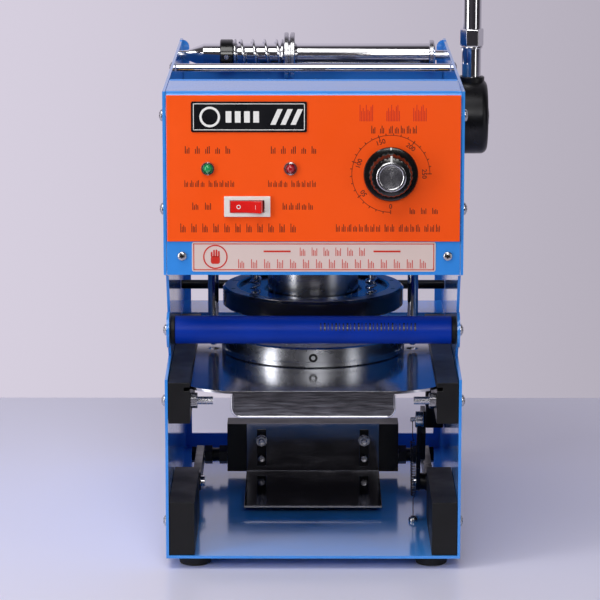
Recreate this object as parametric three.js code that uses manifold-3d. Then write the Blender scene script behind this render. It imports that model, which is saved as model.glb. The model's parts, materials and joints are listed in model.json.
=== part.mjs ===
// A hand-operated cup sealing machine with a sliding cup drawer, a heated press head worked by a
// side handle through a rack and pinion, and a cup lifter that rises as the drawer comes out.
// Millimetres, +Z up. In the machine group y = 0 is the front edge of the side plates, y grows
// towards the back, and z = 0 is the top face of the base plate. The exported group moves the whole
// machine so that the origin is the bottom centre of its bounding box.

import * as THREE from "three";
import { mergeVertices } from "three/addons/utils/BufferGeometryUtils.js";
import Module from "manifold-3d";

const wasm = await Module();
wasm.setup();

// ---------------------------------------------------------------- clearances and sheet
const TOUCH = 0.3; // gap between pieces that rest on each other
const RUNNING = 0.3; // radial gap round a shaft
const SHEET = 2; // casing sheet
const THIN_SHEET = 1.5; // cover sheet

// ---------------------------------------------------------------- cup, ring and drawer
const CUP_RIM = 95; // diameter of the cup rim that the ring holds
const RING_WALL = 20.5; // ring outside radius beyond the cup rim
const RING_HEIGHT = 14.7;
const CUP_Y = 131; // cup axis behind the front edge
const DRAWER_TOP = 123; // top of the drawer plate above the base
const DRAWER_SHEET = 2;
const DRAWER_FRONT = 10; // front edge at the rails
const DRAWER_BULGE = 20; // how far the front edge curves out in the middle
const LIP_WIDTH = 114;
const LIP_HEIGHT = 17;
const GROOVE_DEPTH = 4; // grooves of the rails that hold the plate

// ---------------------------------------------------------------- pins, rails and width
const PIN_RADIUS = 4;
const PIN_TO_RING = 2.3;
const PIN_TO_RAIL = 9;
const RAIL_WIDTH = 15.4;
const RAIL_HEIGHT = 29.6;
const RAIL_LIP = 3.6; // rail above the drawer plate

// ---------------------------------------------------------------- casing
const DEPTH = 315;
const COVER_HEIGHT = 129.5;
const COVER_ABOVE_DRAWER = 81.5; // bottom edge of the front cover above the drawer plate
const COVER_DEPTH = 62;
const COVER_BEND = 5;
const REAR_FLANGE = 12;
const SIDE_FLANGE = 5;
const FOOT_RADIUS = 13;
const FOOT_HEIGHT = 8;
const FOOT_INSET = 20;

// ---------------------------------------------------------------- head drive
const GEAR_MODULE = 1.5;
const PINION_TEETH = 16;
const PINION_WIDTH = 18;
const HANDLE_TURN = Math.PI / 2;
const SHAFT_RADIUS = 7;
const RAM_HALF_WIDTH = 10;
const RAM_THICKNESS = 15.5;
const HUB_RADIUS = 27.5;
const HUB_WIDTH = 22.3;
const HANDLE_LENGTH = 235; // from the drive shaft to the start of the knob
const HANDLE_RADIUS = 7;
const HANDLE_KNOB_LENGTH = 34;
const HANDLE_KNOB_RADIUS = 17;
const SHAFT_BELOW_TOP = 38.5; // drive shaft below the top edge

// ---------------------------------------------------------------- press head
const PRESS_RADIUS = 67.2;
const PRESS_HEIGHT = 14.3;
const PRESS_FLANGE = 5;
const COLUMN_RADIUS = 33.6;
const HEAD_SPRING_RADIUS = 4;
const HEAD_SPRING_LENGTH = 34.1;
const HEAD_SPRING_X = 43;
const HEAD_SPRING_Y = 25;
const HEAD_PLATE = 8;
const LAND_GAP = 0.45; // head above the cup ring at the end of its stroke
const CUTTER_REACH = 1.4; // cutter below the heater face

// ---------------------------------------------------------------- rollers and rods
const ROLLER_Y = 44;
const ROLLER_ABOVE_DRAWER = 32.8;
const ROLLER_RADIUS = 10;
const ROLLER_AXLE = 4;
const LOBE_RADIUS = 13;
const ROLL_FROM_BACK = 18;
const ROLL_BELOW_TOP = 11.3;
const ROLL_RADIUS = 9.3;
const ROLL_JOURNAL = 4;
const ROLL_FLANGE_RADIUS = 18;
const GUIDE_ROD_RADIUS = 3;
const GUIDE_BAR_RADIUS = 3.5;

// ---------------------------------------------------------------- cup lifter
const LIFTER_ARM = 81;
const LIFTER_PIVOT_Y = 145;
const LIFTER_Z = 16.6;
const LIFTER_EYE = 7;
const LIFTER_SHAFT = 4.25;
const BLOCK_WIDTH = 133.5;
const BLOCK_HEIGHT = 38;
const BLOCK_DEPTH = 21;
const PLATFORM_WIDTH = 103.5;
const PLATFORM_DEPTH = 105;

// ---------------------------------------------------------------- worked out from the above
const RING_RADIUS = CUP_RIM / 2 + RING_WALL;
const PIN_X = RING_RADIUS + PIN_TO_RING + PIN_RADIUS;
const RAIL_INNER = PIN_X + PIN_RADIUS + PIN_TO_RAIL;
const FIT = RAIL_INNER + RAIL_WIDTH; // half width of what sits between the side plates
const INNER = FIT + TOUCH; // inside face of a side plate
const HALF_WIDTH = INNER + SHEET;
const COVER_BOTTOM = DRAWER_TOP + COVER_ABOVE_DRAWER;
const TOP = COVER_BOTTOM + COVER_HEIGHT;
const ROLLER_Z = DRAWER_TOP + ROLLER_ABOVE_DRAWER;
const ROLL_Y = DEPTH - ROLL_FROM_BACK;
const ROLL_Z = TOP - ROLL_BELOW_TOP;
const RAIL_LENGTH = DEPTH - 75;
const RING_BOTTOM = DRAWER_TOP + TOUCH;
const RING_TOP = RING_BOTTOM + RING_HEIGHT;
const PITCH_RADIUS = (GEAR_MODULE * PINION_TEETH) / 2;
const TOOTH_PITCH = Math.PI * GEAR_MODULE;
const STROKE = PITCH_RADIUS * HANDLE_TURN;
const PRESS_BOTTOM = RING_TOP + LAND_GAP + STROKE;
const PRESS_TOP = PRESS_BOTTOM + PRESS_HEIGHT;
const HEAD_PLATE_BOTTOM = PRESS_TOP + HEAD_SPRING_LENGTH + 2 * TOUCH;
const HEAD_PLATE_TOP = HEAD_PLATE_BOTTOM + HEAD_PLATE;
const DRIVE_Z = TOP - SHAFT_BELOW_TOP;
const RAM_FRONT = CUP_Y - 9;
const TOOTH_TIP_Y = RAM_FRONT + RAM_THICKNESS;
const DRIVE_Y = TOOTH_TIP_Y - GEAR_MODULE + PITCH_RADIUS;
const BORE_RADIUS = CUP_RIM / 2 - 3;
const GROOVE_INNER = CUP_RIM / 2 + 1;
const GROOVE_OUTER = GROOVE_INNER + 4;
const PANEL_TOP = TOP - 2.5;
const PANEL_BOTTOM = COVER_BOTTOM + 24;
const PANEL_BACK = -TOUCH;
const PANEL_FRONT = PANEL_BACK - 0.8;

const ROUND = 32; // sides of a large round
const MEDIUM = 20; // sides of a shaft
const SMALL = 12; // sides of a thin rod

// ---------------------------------------------------------------- finishes
const FINISHES = {
  bluePaint: { color: 0x4796e2, roughness: 0.22, metalness: 0.1 },
  orangePaint: { color: 0xfa5f14, roughness: 0.35, metalness: 0.05 },
  blackPlastic: { color: 0x101012, roughness: 0.45, metalness: 0 },
  blackMetal: { color: 0x17181b, roughness: 0.4, metalness: 0.5 },
  chrome: { color: 0xd9dbe0, roughness: 0.12, metalness: 1 },
  stainless: { color: 0xb9bcc2, roughness: 0.22, metalness: 1 },
  aluminium: { color: 0xb4b7bd, roughness: 0.35, metalness: 1 },
  brass: { color: 0xc9a24b, roughness: 0.35, metalness: 1 },
  rubber: { color: 0x0c0c0d, roughness: 0.8, metalness: 0 },
  rollerBlue: { color: 0x032896, roughness: 0.3, metalness: 0 },
  redPlastic: { color: 0xd8201c, roughness: 0.2, metalness: 0 },
  greenPlastic: { color: 0x2fae5a, roughness: 0.2, metalness: 0 },
  whitePlastic: { color: 0xe6e6e6, roughness: 0.4, metalness: 0 },
};

// ---------------------------------------------------------------- solids
// Signed volume of an indexed triangle mesh: negative when its faces point inwards.
function signedVolume(positions, indices) {
  const a = new THREE.Vector3();
  const b = new THREE.Vector3();
  const c = new THREE.Vector3();
  let sum = 0;
  for (let i = 0; i < indices.length; i += 3) {
    a.fromArray(positions, indices[i] * 3);
    b.fromArray(positions, indices[i + 1] * 3);
    c.fromArray(positions, indices[i + 2] * 3);
    sum += a.dot(b.cross(c)) / 6;
  }
  return sum;
}

// Turns a closed three.js geometry into a solid that can be joined and cut.
function solid(geometry) {
  const plain = geometry.index ? geometry.toNonIndexed() : geometry.clone();
  plain.deleteAttribute("normal");
  plain.deleteAttribute("uv");
  const merged = mergeVertices(plain, 1e-3);
  const source = merged.index.array;
  const kept = [];
  for (let i = 0; i < source.length; i += 3) {
    const [p, q, r] = [source[i], source[i + 1], source[i + 2]];
    if (p !== q && q !== r && r !== p) kept.push(p, q, r);
  }
  const positions = new Float32Array(merged.attributes.position.array);
  if (signedVolume(positions, kept) < 0) kept.reverse();
  const triVerts = new Uint32Array(kept);
  return new wasm.Manifold(new wasm.Mesh({ numProp: 3, vertProperties: positions, triVerts }));
}

const join = (first, ...others) => others.reduce((sum, next) => sum.add(solid(next)), solid(first));
const cut = (body, ...tools) => tools.reduce((rest, tool) => rest.subtract(solid(tool)), body);

function geometryOf(body) {
  const mesh = body.getMesh();
  const geometry = new THREE.BufferGeometry();
  geometry.setAttribute("position", new THREE.BufferAttribute(mesh.vertProperties, 3));
  geometry.setIndex(new THREE.BufferAttribute(mesh.triVerts, 1));
  geometry.computeVertexNormals();
  return geometry;
}

// Adds a named piece to a group, at a place in that group.
function piece(group, name, body, finish, place = [0, 0, 0], turn = [0, 0, 0]) {
  const shape = body.isBufferGeometry ? solid(body) : body;
  const mesh = new THREE.Mesh(geometryOf(shape), new THREE.MeshStandardMaterial(FINISHES[finish]));
  mesh.name = name;
  mesh.position.set(...place);
  mesh.rotation.set(...turn);
  group.add(mesh);
  return mesh;
}

function assembly(parent, x = 0, y = 0, z = 0) {
  const group = new THREE.Group();
  group.position.set(x, y, z);
  parent.add(group);
  return group;
}

// ---------------------------------------------------------------- plain shapes
function box(x0, x1, y0, y1, z0, z1) {
  const geometry = new THREE.BoxGeometry(x1 - x0, y1 - y0, z1 - z0);
  return geometry.translate((x0 + x1) / 2, (y0 + y1) / 2, (z0 + z1) / 2);
}

function rodX(radius, x0, x1, y, z, sides = MEDIUM) {
  const geometry = new THREE.CylinderGeometry(radius, radius, x1 - x0, sides);
  return geometry.rotateZ(-Math.PI / 2).translate((x0 + x1) / 2, y, z);
}

function rodY(radius, y0, y1, x, z, sides = MEDIUM) {
  const geometry = new THREE.CylinderGeometry(radius, radius, y1 - y0, sides);
  return geometry.translate(x, (y0 + y1) / 2, z);
}

function rodZ(radius, z0, z1, x, y, sides = MEDIUM) {
  const geometry = new THREE.CylinderGeometry(radius, radius, z1 - z0, sides);
  return geometry.rotateX(Math.PI / 2).translate(x, y, (z0 + z1) / 2);
}

// A round body from [radius, height] pairs. A tube's outline is closed on itself.
function turned(outline, sides = ROUND) {
  return new THREE.LatheGeometry(outline.map(([r, h]) => new THREE.Vector2(r, h)), sides);
}
const turnedX = (outline, sides) => turned(outline, sides).rotateZ(-Math.PI / 2);
const turnedZ = (outline, sides) => turned(outline, sides).rotateX(Math.PI / 2);
const turnedForward = (outline, sides) => turned(outline, sides).rotateX(Math.PI);

function tubeOutline(inner, outer, low, high) {
  return [[inner, low], [outer, low], [outer, high], [inner, high], [inner, low]];
}

// A shape drawn in (y, z), pushed along x.
function prismX(shape, x0, x1, curveSegments = 6) {
  const geometry = new THREE.ExtrudeGeometry(shape, { depth: x1 - x0, bevelEnabled: false, curveSegments });
  const axes = [new THREE.Vector3(0, 1, 0), new THREE.Vector3(0, 0, 1), new THREE.Vector3(1, 0, 0)];
  return geometry.applyMatrix4(new THREE.Matrix4().makeBasis(...axes)).translate(x0, 0, 0);
}

// A shape drawn in (x, z), pushed along y.
function prismY(shape, y0, y1, curveSegments = 6) {
  const geometry = new THREE.ExtrudeGeometry(shape, { depth: y1 - y0, bevelEnabled: false, curveSegments });
  const axes = [new THREE.Vector3(1, 0, 0), new THREE.Vector3(0, 0, 1), new THREE.Vector3(0, -1, 0)];
  return geometry.applyMatrix4(new THREE.Matrix4().makeBasis(...axes)).translate(0, y1, 0);
}

// A shape drawn in (x, y), pushed along z.
function prismZ(shape, z0, z1, curveSegments = 6) {
  const geometry = new THREE.ExtrudeGeometry(shape, { depth: z1 - z0, bevelEnabled: false, curveSegments });
  return geometry.translate(0, 0, z0);
}

const polygon = (points) => new THREE.Shape(points.map(([x, y]) => new THREE.Vector2(x, y)));

class Helix extends THREE.Curve {
  constructor(radius, length, turns) {
    super();
    Object.assign(this, { radius, length, turns });
  }

  getPoint(t) {
    const angle = 2 * Math.PI * this.turns * t;
    return new THREE.Vector3(
      this.radius * Math.cos(angle),
      this.radius * Math.sin(angle),
      this.length * t,
    );
  }
}

// A coil standing on z = 0, of an outside radius and an overall length.
function coil(outerRadius, length, wire, turns, stepsPerTurn = 7) {
  const sides = 5;
  const section = polygon(
    Array.from({ length: sides }, (_, i) => {
      const angle = (2 * Math.PI * i) / sides;
      return [(wire / 2) * Math.cos(angle), (wire / 2) * Math.sin(angle)];
    }),
  );
  const path = new Helix(outerRadius - wire / 2, length - wire, turns);
  const geometry = new THREE.ExtrudeGeometry(section, { steps: turns * stepsPerTurn, extrudePath: path });
  return geometry.translate(0, 0, wire / 2);
}

const sideName = (side) => (side < 0 ? "left" : "right");

// ---------------------------------------------------------------- casing
function sidePlateShape() {
  const slot = ROLL_JOURNAL + RUNNING;
  const shape = new THREE.Shape();
  shape.moveTo(0, -SHEET);
  shape.lineTo(DEPTH, -SHEET);
  shape.lineTo(DEPTH, TOP);
  shape.lineTo(ROLL_Y + slot, TOP);
  shape.lineTo(ROLL_Y + slot, ROLL_Z);
  shape.absarc(ROLL_Y, ROLL_Z, slot, 0, Math.PI, true);
  shape.lineTo(ROLL_Y - slot, TOP);
  shape.lineTo(0, TOP);
  shape.lineTo(0, COVER_BOTTOM);
  shape.lineTo(34, COVER_BOTTOM - 7.5);
  shape.absarc(ROLLER_Y, ROLLER_Z, LOBE_RADIUS, Math.PI / 4, (5 * Math.PI) / 3, false);
  shape.lineTo(62.5, DRAWER_TOP + 10);
  shape.lineTo(0, DRAWER_TOP + 6);
  return shape;
}

function rearFlangeShape(side) {
  const corner = 6;
  const inner = INNER - SIDE_FLANGE;
  const shape = new THREE.Shape();
  shape.moveTo(side * (INNER + SHEET / 2), 0);
  shape.lineTo(side * inner, 0);
  shape.lineTo(side * inner, TOP - 1 - corner);
  shape.absarc(side * (inner + corner), TOP - 1 - corner, corner, side > 0 ? Math.PI : 0, Math.PI / 2, side > 0);
  shape.lineTo(side * (INNER + SHEET / 2), TOP - 1);
  return shape;
}

function makeCasing() {
  const shell = join(
    prismX(sidePlateShape(), -HALF_WIDTH, -INNER),
    prismX(sidePlateShape(), INNER, HALF_WIDTH),
    box(-HALF_WIDTH, HALF_WIDTH, 0, DEPTH, -SHEET, 0),
    box(-INNER - SHEET / 2, INNER + SHEET / 2, DEPTH - SHEET, DEPTH, -SHEET / 2, REAR_FLANGE),
    prismY(rearFlangeShape(-1), DEPTH - SHEET, DEPTH),
    prismY(rearFlangeShape(1), DEPTH - SHEET, DEPTH),
  );
  const bushHole = rodX(BUSH_RADIUS + TOUCH, INNER - 5, HALF_WIDTH + 5, DRIVE_Y, DRIVE_Z);
  piece(machine, "chassis", cut(shell, bushHole), "bluePaint");

  for (const side of [-1, 1]) {
    for (const [end, y] of [["front", FOOT_INSET], ["back", DEPTH - FOOT_INSET]]) {
      const foot = turnedZ([[0, 0], [FOOT_RADIUS - 2, 0], [FOOT_RADIUS, FOOT_HEIGHT], [0, FOOT_HEIGHT]], MEDIUM);
      const place = [side * (HALF_WIDTH - FOOT_INSET), y, -SHEET - TOUCH - FOOT_HEIGHT];
      piece(machine, `foot_${end}_${sideName(side)}`, foot, "rubber", place);
    }
  }

  const rearPlate = box(-FIT, FIT, DEPTH - SHEET - TOUCH - THIN_SHEET, DEPTH - SHEET - TOUCH, TOP - 164, TOP - 26);
  const glandHole = rodY(GLAND_BARREL + TOUCH, DEPTH - 20, DEPTH + 20, GLAND_X, GLAND_Z);
  piece(machine, "rear_cover", cut(solid(rearPlate), glandHole), "bluePaint");
  const gland = turned(
    [[3.5, -8], [GLAND_BARREL, -8], [GLAND_BARREL, -0.1], [9, 0], [9, 4], [6, 8], [3.5, 8], [3.5, -8]],
    MEDIUM,
  );
  piece(machine, "cable_gland", gland, "blackPlastic", [GLAND_X, DEPTH - SHEET, GLAND_Z]);

  const shelf = join(
    box(-FIT, FIT, RAIL_LENGTH + 3, DEPTH - 25, DRAWER_TOP + 2.5, DRAWER_TOP + 4),
    box(-FIT, FIT, RAIL_LENGTH + 3, RAIL_LENGTH + 4.5, DRAWER_TOP - 8, DRAWER_TOP + 3),
  );
  piece(machine, "rear_shelf", shelf, "bluePaint");
}

const BUSH_RADIUS = 11;
const GLAND_BARREL = 6;
const GLAND_X = -60;
const GLAND_Z = TOP - 145;

// ---------------------------------------------------------------- front cover and panel
const LAMP_Z = PANEL_TOP - 51.2;
const HEAT_LAMP_X = -73.6;
const TEMP_LAMP_X = -16;
const LAMP_BARREL = 4;
const SWITCH_X = -46.2;
const SWITCH_Z = PANEL_TOP - 77.9;
const SWITCH_WIDTH = 32.2;
const SWITCH_HEIGHT = 14.4;
const WINDOW_WIDTH = 24;
const WINDOW_HEIGHT = 8.8;
const KNOB_X = 53.8;
const KNOB_Z = PANEL_TOP - 55;
const KNOB_RADIUS = 19;
const KNOB_SHAFT = 3;

function frontCoverShape() {
  const inside = COVER_BEND - THIN_SHEET;
  const shape = new THREE.Shape();
  shape.moveTo(0, COVER_BOTTOM);
  shape.lineTo(0, TOP - COVER_BEND);
  shape.absarc(COVER_BEND, TOP - COVER_BEND, COVER_BEND, Math.PI, Math.PI / 2, true);
  shape.lineTo(COVER_DEPTH, TOP);
  shape.lineTo(COVER_DEPTH, TOP - 6);
  shape.lineTo(COVER_DEPTH - THIN_SHEET, TOP - 6);
  shape.lineTo(COVER_DEPTH - THIN_SHEET, TOP - THIN_SHEET);
  shape.lineTo(COVER_BEND, TOP - THIN_SHEET);
  shape.absarc(COVER_BEND, TOP - COVER_BEND, inside, Math.PI / 2, Math.PI, false);
  shape.lineTo(THIN_SHEET, COVER_BOTTOM + THIN_SHEET);
  shape.lineTo(10, COVER_BOTTOM + THIN_SHEET);
  shape.lineTo(10, COVER_BOTTOM);
  return shape;
}

// The holes that the front cover and the panel share.
function panelHoles() {
  const lamp = (x) => rodY(LAMP_BARREL + TOUCH, -5, 5, x, LAMP_Z, SMALL);
  const half = [SWITCH_WIDTH / 2 - 2.3, SWITCH_HEIGHT / 2 - 0.9];
  return [
    lamp(HEAT_LAMP_X),
    lamp(TEMP_LAMP_X),
    rodY(KNOB_SHAFT + 1, -5, 5, KNOB_X, KNOB_Z, SMALL),
    box(SWITCH_X - half[0], SWITCH_X + half[0], -5, 5, SWITCH_Z - half[1], SWITCH_Z + half[1]),
  ];
}

function makeFront() {
  const flanges = [-1, 1].map((side) => {
    const [low, high] = [FIT - THIN_SHEET, FIT].map((x) => side * x).sort((a, b) => a - b);
    return box(low, high, THIN_SHEET / 2, 18, COVER_BOTTOM + THIN_SHEET / 2, TOP - COVER_BEND - 2);
  });
  const cover = join(prismX(frontCoverShape(), -FIT, FIT, 3), ...flanges);
  piece(machine, "front_cover", cut(cover, ...panelHoles()), "bluePaint");

  const sheet = box(-FIT + 0.4, FIT - 0.4, PANEL_FRONT, PANEL_BACK, PANEL_BOTTOM, PANEL_TOP);
  piece(machine, "control_panel", cut(solid(sheet), ...panelHoles()), "orangePaint");

  // Outlines run forward from the face of the panel.
  const lampOutline = [
    [0, -14], [LAMP_BARREL, -14], [LAMP_BARREL, TOUCH], [5, TOUCH], [5, 1.8], [3, 1.8], [2.2, 3], [0, 3.5],
  ];
  for (const [name, x, finish] of [
    ["heat_lamp", HEAT_LAMP_X, "greenPlastic"],
    ["temp_lamp", TEMP_LAMP_X, "redPlastic"],
  ]) {
    piece(machine, name, turnedForward(lampOutline, SMALL), finish, [x, PANEL_FRONT, LAMP_Z]);
  }
  makeSwitch();

  const thermostat = turned(tubeOutline(KNOB_SHAFT + RUNNING, 15, 3, 22), MEDIUM);
  piece(machine, "thermostat_body", thermostat, "blackPlastic", [KNOB_X, 0, KNOB_Z]);
  const knob = turnedForward([
    [0, -18], [KNOB_SHAFT, -18], [KNOB_SHAFT, 0.8], [KNOB_RADIUS, 0.8], [KNOB_RADIUS, 2.6],
    [KNOB_RADIUS - 3.2, 3.4], [KNOB_RADIUS - 4.5, 13.4], [KNOB_RADIUS - 5.5, 14.4], [0, 14.4],
  ]);
  piece(machine, "thermostat_knob", knob, "blackPlastic", [KNOB_X, PANEL_FRONT, KNOB_Z]);
}

function makeSwitch() {
  const group = assembly(machine, SWITCH_X, PANEL_FRONT, SWITCH_Z);
  const [w, h] = [SWITCH_WIDTH / 2, SWITCH_HEIGHT / 2];
  const [ww, wh] = [WINDOW_WIDTH / 2, WINDOW_HEIGHT / 2];
  const housing = join(box(-w, w, -2.3, -TOUCH, -h, h), box(2.6 - w, w - 2.6, -1, 20, 1.2 - h, h - 1.2));
  piece(group, "switch_housing", cut(housing, box(-ww, ww, -3, 12, -wh, wh)), "whitePlastic");

  // The rocker's face is a shallow V, and one half lies level with the panel at each end of its turn.
  const halfTurn = THREE.MathUtils.degToRad(10);
  const crest = 3.2;
  const reach = ww - 1;
  const tip = crest + reach * Math.tan(halfTurn);
  const outline = polygon([
    [-reach, -tip], [0, -crest], [reach, -tip], [reach + 0.3, -1], [reach, 3], [6, 7],
    [-6, 7], [-reach, 3], [-reach - 0.3, -1],
  ]);
  const rocker = prismZ(outline, -wh + TOUCH, wh - TOUCH);
  piece(group, "switch_rocker", rocker, "redPlastic", [0, 0.1, 0], [0, 0, -halfTurn]);
}

// ---------------------------------------------------------------- drawer and rails
function railShape(side) {
  const bottom = DRAWER_TOP + RAIL_LIP - RAIL_HEIGHT;
  const top = DRAWER_TOP + RAIL_LIP;
  const grooveFloor = RAIL_INNER + GROOVE_DEPTH + TOUCH;
  const grooveBottom = DRAWER_TOP - DRAWER_SHEET - TOUCH;
  const points = [
    [RAIL_INNER, bottom], [FIT, bottom], [FIT, top], [RAIL_INNER, top], [RAIL_INNER, DRAWER_TOP + TOUCH],
    [grooveFloor, DRAWER_TOP + TOUCH], [grooveFloor, grooveBottom], [RAIL_INNER, grooveBottom],
  ];
  return polygon(points.map(([x, z]) => [side * x, z]));
}

// Plate outline seen from above, with its front edge an arc through the middle of the bulge.
function drawerShape() {
  const half = RAIL_INNER + GROOVE_DEPTH;
  const back = RAIL_LENGTH - 15;
  const lip = LIP_WIDTH / 2;
  const front = DRAWER_FRONT - DRAWER_BULGE;
  const shape = new THREE.Shape();
  shape.moveTo(half, back);
  shape.lineTo(-half, back);
  shape.lineTo(-half, DRAWER_FRONT + 6);
  shape.quadraticCurveTo(-half + 4, front + 6, -lip, front);
  shape.lineTo(lip, front);
  shape.quadraticCurveTo(half - 4, front + 6, half, DRAWER_FRONT + 6);
  const bore = new THREE.Path();
  bore.absarc(0, CUP_Y, BORE_RADIUS + 1, 0, 2 * Math.PI, true);
  shape.holes.push(bore);
  return shape;
}

function lipShape() {
  const corner = 8;
  const half = LIP_WIDTH / 2;
  const low = DRAWER_TOP - DRAWER_SHEET - LIP_HEIGHT;
  const shape = new THREE.Shape();
  shape.moveTo(-half, DRAWER_TOP - DRAWER_SHEET / 2);
  shape.lineTo(-half, low + corner);
  shape.absarc(-half + corner, low + corner, corner, Math.PI, 1.5 * Math.PI, false);
  shape.absarc(half - corner, low + corner, corner, 1.5 * Math.PI, 2 * Math.PI, false);
  shape.lineTo(half, DRAWER_TOP - DRAWER_SHEET / 2);
  return shape;
}

function makeDrawer() {
  for (const side of [-1, 1]) {
    const rail = prismY(railShape(side), TOUCH, RAIL_LENGTH);
    piece(machine, `upper_rail_${sideName(side)}`, rail, "blackPlastic");
    const [low, high] = [FIT - 18, FIT].map((x) => side * x).sort((a, b) => a - b);
    piece(machine, `base_rail_${sideName(side)}`, box(low, high, 1, 102, TOUCH, 39), "blackPlastic");
  }
  const front = DRAWER_FRONT - DRAWER_BULGE;
  const plate = join(
    prismZ(drawerShape(), DRAWER_TOP - DRAWER_SHEET, DRAWER_TOP, 16),
    prismY(lipShape(), front, front + DRAWER_SHEET, 4),
  );
  const pinHoles = [-1, 1].map((side) => {
    return rodZ(PIN_RADIUS + 0.5, DRAWER_TOP - 9, DRAWER_TOP + 9, side * PIN_X, CUP_Y, SMALL);
  });
  piece(machine, "drawer_plate", cut(plate, ...pinHoles), "stainless");

  const ring = turnedZ([
    [BORE_RADIUS, 0], [RING_RADIUS, 0], [RING_RADIUS, RING_HEIGHT - 1], [RING_RADIUS - 1, RING_HEIGHT],
    [GROOVE_OUTER, RING_HEIGHT], [GROOVE_OUTER, RING_HEIGHT - 4], [GROOVE_INNER, RING_HEIGHT - 4],
    [GROOVE_INNER, RING_HEIGHT], [BORE_RADIUS, RING_HEIGHT], [BORE_RADIUS, 0],
  ]);
  const screwHole = rodY(3.2, -RING_RADIUS - 5, -RING_RADIUS + 10, 0, RING_HEIGHT / 2, SMALL);
  piece(machine, "cup_ring", cut(solid(ring), screwHole), "aluminium", [0, CUP_Y, RING_BOTTOM]);
}

// ---------------------------------------------------------------- press head
function makeHead() {
  const head = assembly(machine, 0, CUP_Y, PRESS_BOTTOM);
  const carrierTop = PRESS_HEIGHT - PRESS_FLANGE - TOUCH;
  const carrierBottom = carrierTop - 4.3;
  const plateBottom = HEAD_PLATE_BOTTOM - PRESS_BOTTOM;
  const cavity = GROOVE_OUTER + 2.5;

  const pressRing = turnedZ([
    [cavity, 0], [PRESS_RADIUS - 1, 0], [PRESS_RADIUS, 1], [PRESS_RADIUS, PRESS_HEIGHT - 1],
    [PRESS_RADIUS - 1, PRESS_HEIGHT], [COLUMN_RADIUS + 2.4, PRESS_HEIGHT],
    [COLUMN_RADIUS + 2.4, PRESS_HEIGHT - PRESS_FLANGE], [cavity, PRESS_HEIGHT - PRESS_FLANGE], [cavity, 0],
  ]);
  piece(head, "press_ring", pressRing, "blackMetal");

  const carrier = turnedZ([
    [0, carrierBottom], [GROOVE_OUTER, carrierBottom], [GROOVE_OUTER, carrierTop],
    [COLUMN_RADIUS, carrierTop], [COLUMN_RADIUS, plateBottom - TOUCH], [0, plateBottom - TOUCH],
  ]);
  piece(head, "heater_carrier", carrier, "aluminium");
  const heater = turnedZ([[0, 0], [GROOVE_INNER - 0.2, 0], [GROOVE_INNER - 0.2, carrierBottom - TOUCH],
    [0, carrierBottom - TOUCH]]);
  piece(head, "heater_block", heater, "aluminium", [0, 0, 0.05]);
  const cutter = turnedZ([
    [GROOVE_INNER + 1.5, -CUTTER_REACH], [GROOVE_INNER + 2.4, -CUTTER_REACH],
    [GROOVE_OUTER - 0.9, carrierBottom - TOUCH], [GROOVE_INNER + 0.5, carrierBottom - TOUCH],
    [GROOVE_INNER + 1.5, -CUTTER_REACH],
  ]);
  piece(head, "cutter_ring", cutter, "stainless");

  const plateX = PIN_X + PIN_RADIUS + 2;
  piece(head, "head_plate", box(-plateX, plateX, -38, 38, plateBottom, plateBottom + HEAD_PLATE), "aluminium");

  for (const side of [-1, 1]) {
    for (const [end, depth] of [["front", -1], ["back", 1]]) {
      const spring = coil(HEAD_SPRING_RADIUS, HEAD_SPRING_LENGTH, 1.2, 7);
      const place = [side * HEAD_SPRING_X, depth * HEAD_SPRING_Y, PRESS_HEIGHT + TOUCH];
      piece(head, `head_spring_${end}_${sideName(side)}`, spring, "chrome", place);
    }
    const reach = DRAWER_TOP + 3 - PRESS_BOTTOM;
    const pin = turnedZ([
      [0, reach], [PIN_RADIUS - 1.5, reach], [PIN_RADIUS, reach + 2.5], [PIN_RADIUS, plateBottom - TOUCH],
      [0, plateBottom - TOUCH],
    ], SMALL);
    piece(head, `locating_pin_${sideName(side)}`, pin, "chrome", [side * PIN_X, 0, 0]);
  }
}

// ---------------------------------------------------------------- rack, pinion and handle
const TOOTH_HALF = 0.2 * TOOTH_PITCH; // half a tooth at the pitch line, with backlash
const FLANK = Math.tan(THREE.MathUtils.degToRad(20));
const ROOT_DROP = 1.27 * GEAR_MODULE;
const TIP_HALF = TOOTH_HALF - GEAR_MODULE * FLANK;
const ROOT_HALF = TOOTH_HALF + ROOT_DROP * FLANK;

// One tooth points forward, to the rack. Drawn in (y, z).
function pinionShape() {
  const [tip, root] = [PITCH_RADIUS + GEAR_MODULE, PITCH_RADIUS - ROOT_DROP];
  const points = [];
  for (let tooth = 0; tooth < PINION_TEETH; tooth += 1) {
    const middle = Math.PI + (2 * Math.PI * tooth) / PINION_TEETH;
    for (const [radius, offset] of [
      [root, -ROOT_HALF / root], [tip, -TIP_HALF / tip], [tip, TIP_HALF / tip], [root, ROOT_HALF / root],
    ]) {
      points.push([radius * Math.cos(middle + offset), radius * Math.sin(middle + offset)]);
    }
  }
  const shape = polygon(points);
  const bore = new THREE.Path();
  bore.absarc(0, 0, SHAFT_RADIUS + TOUCH, 0, 2 * Math.PI, true);
  shape.holes.push(bore);
  return shape;
}

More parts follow.
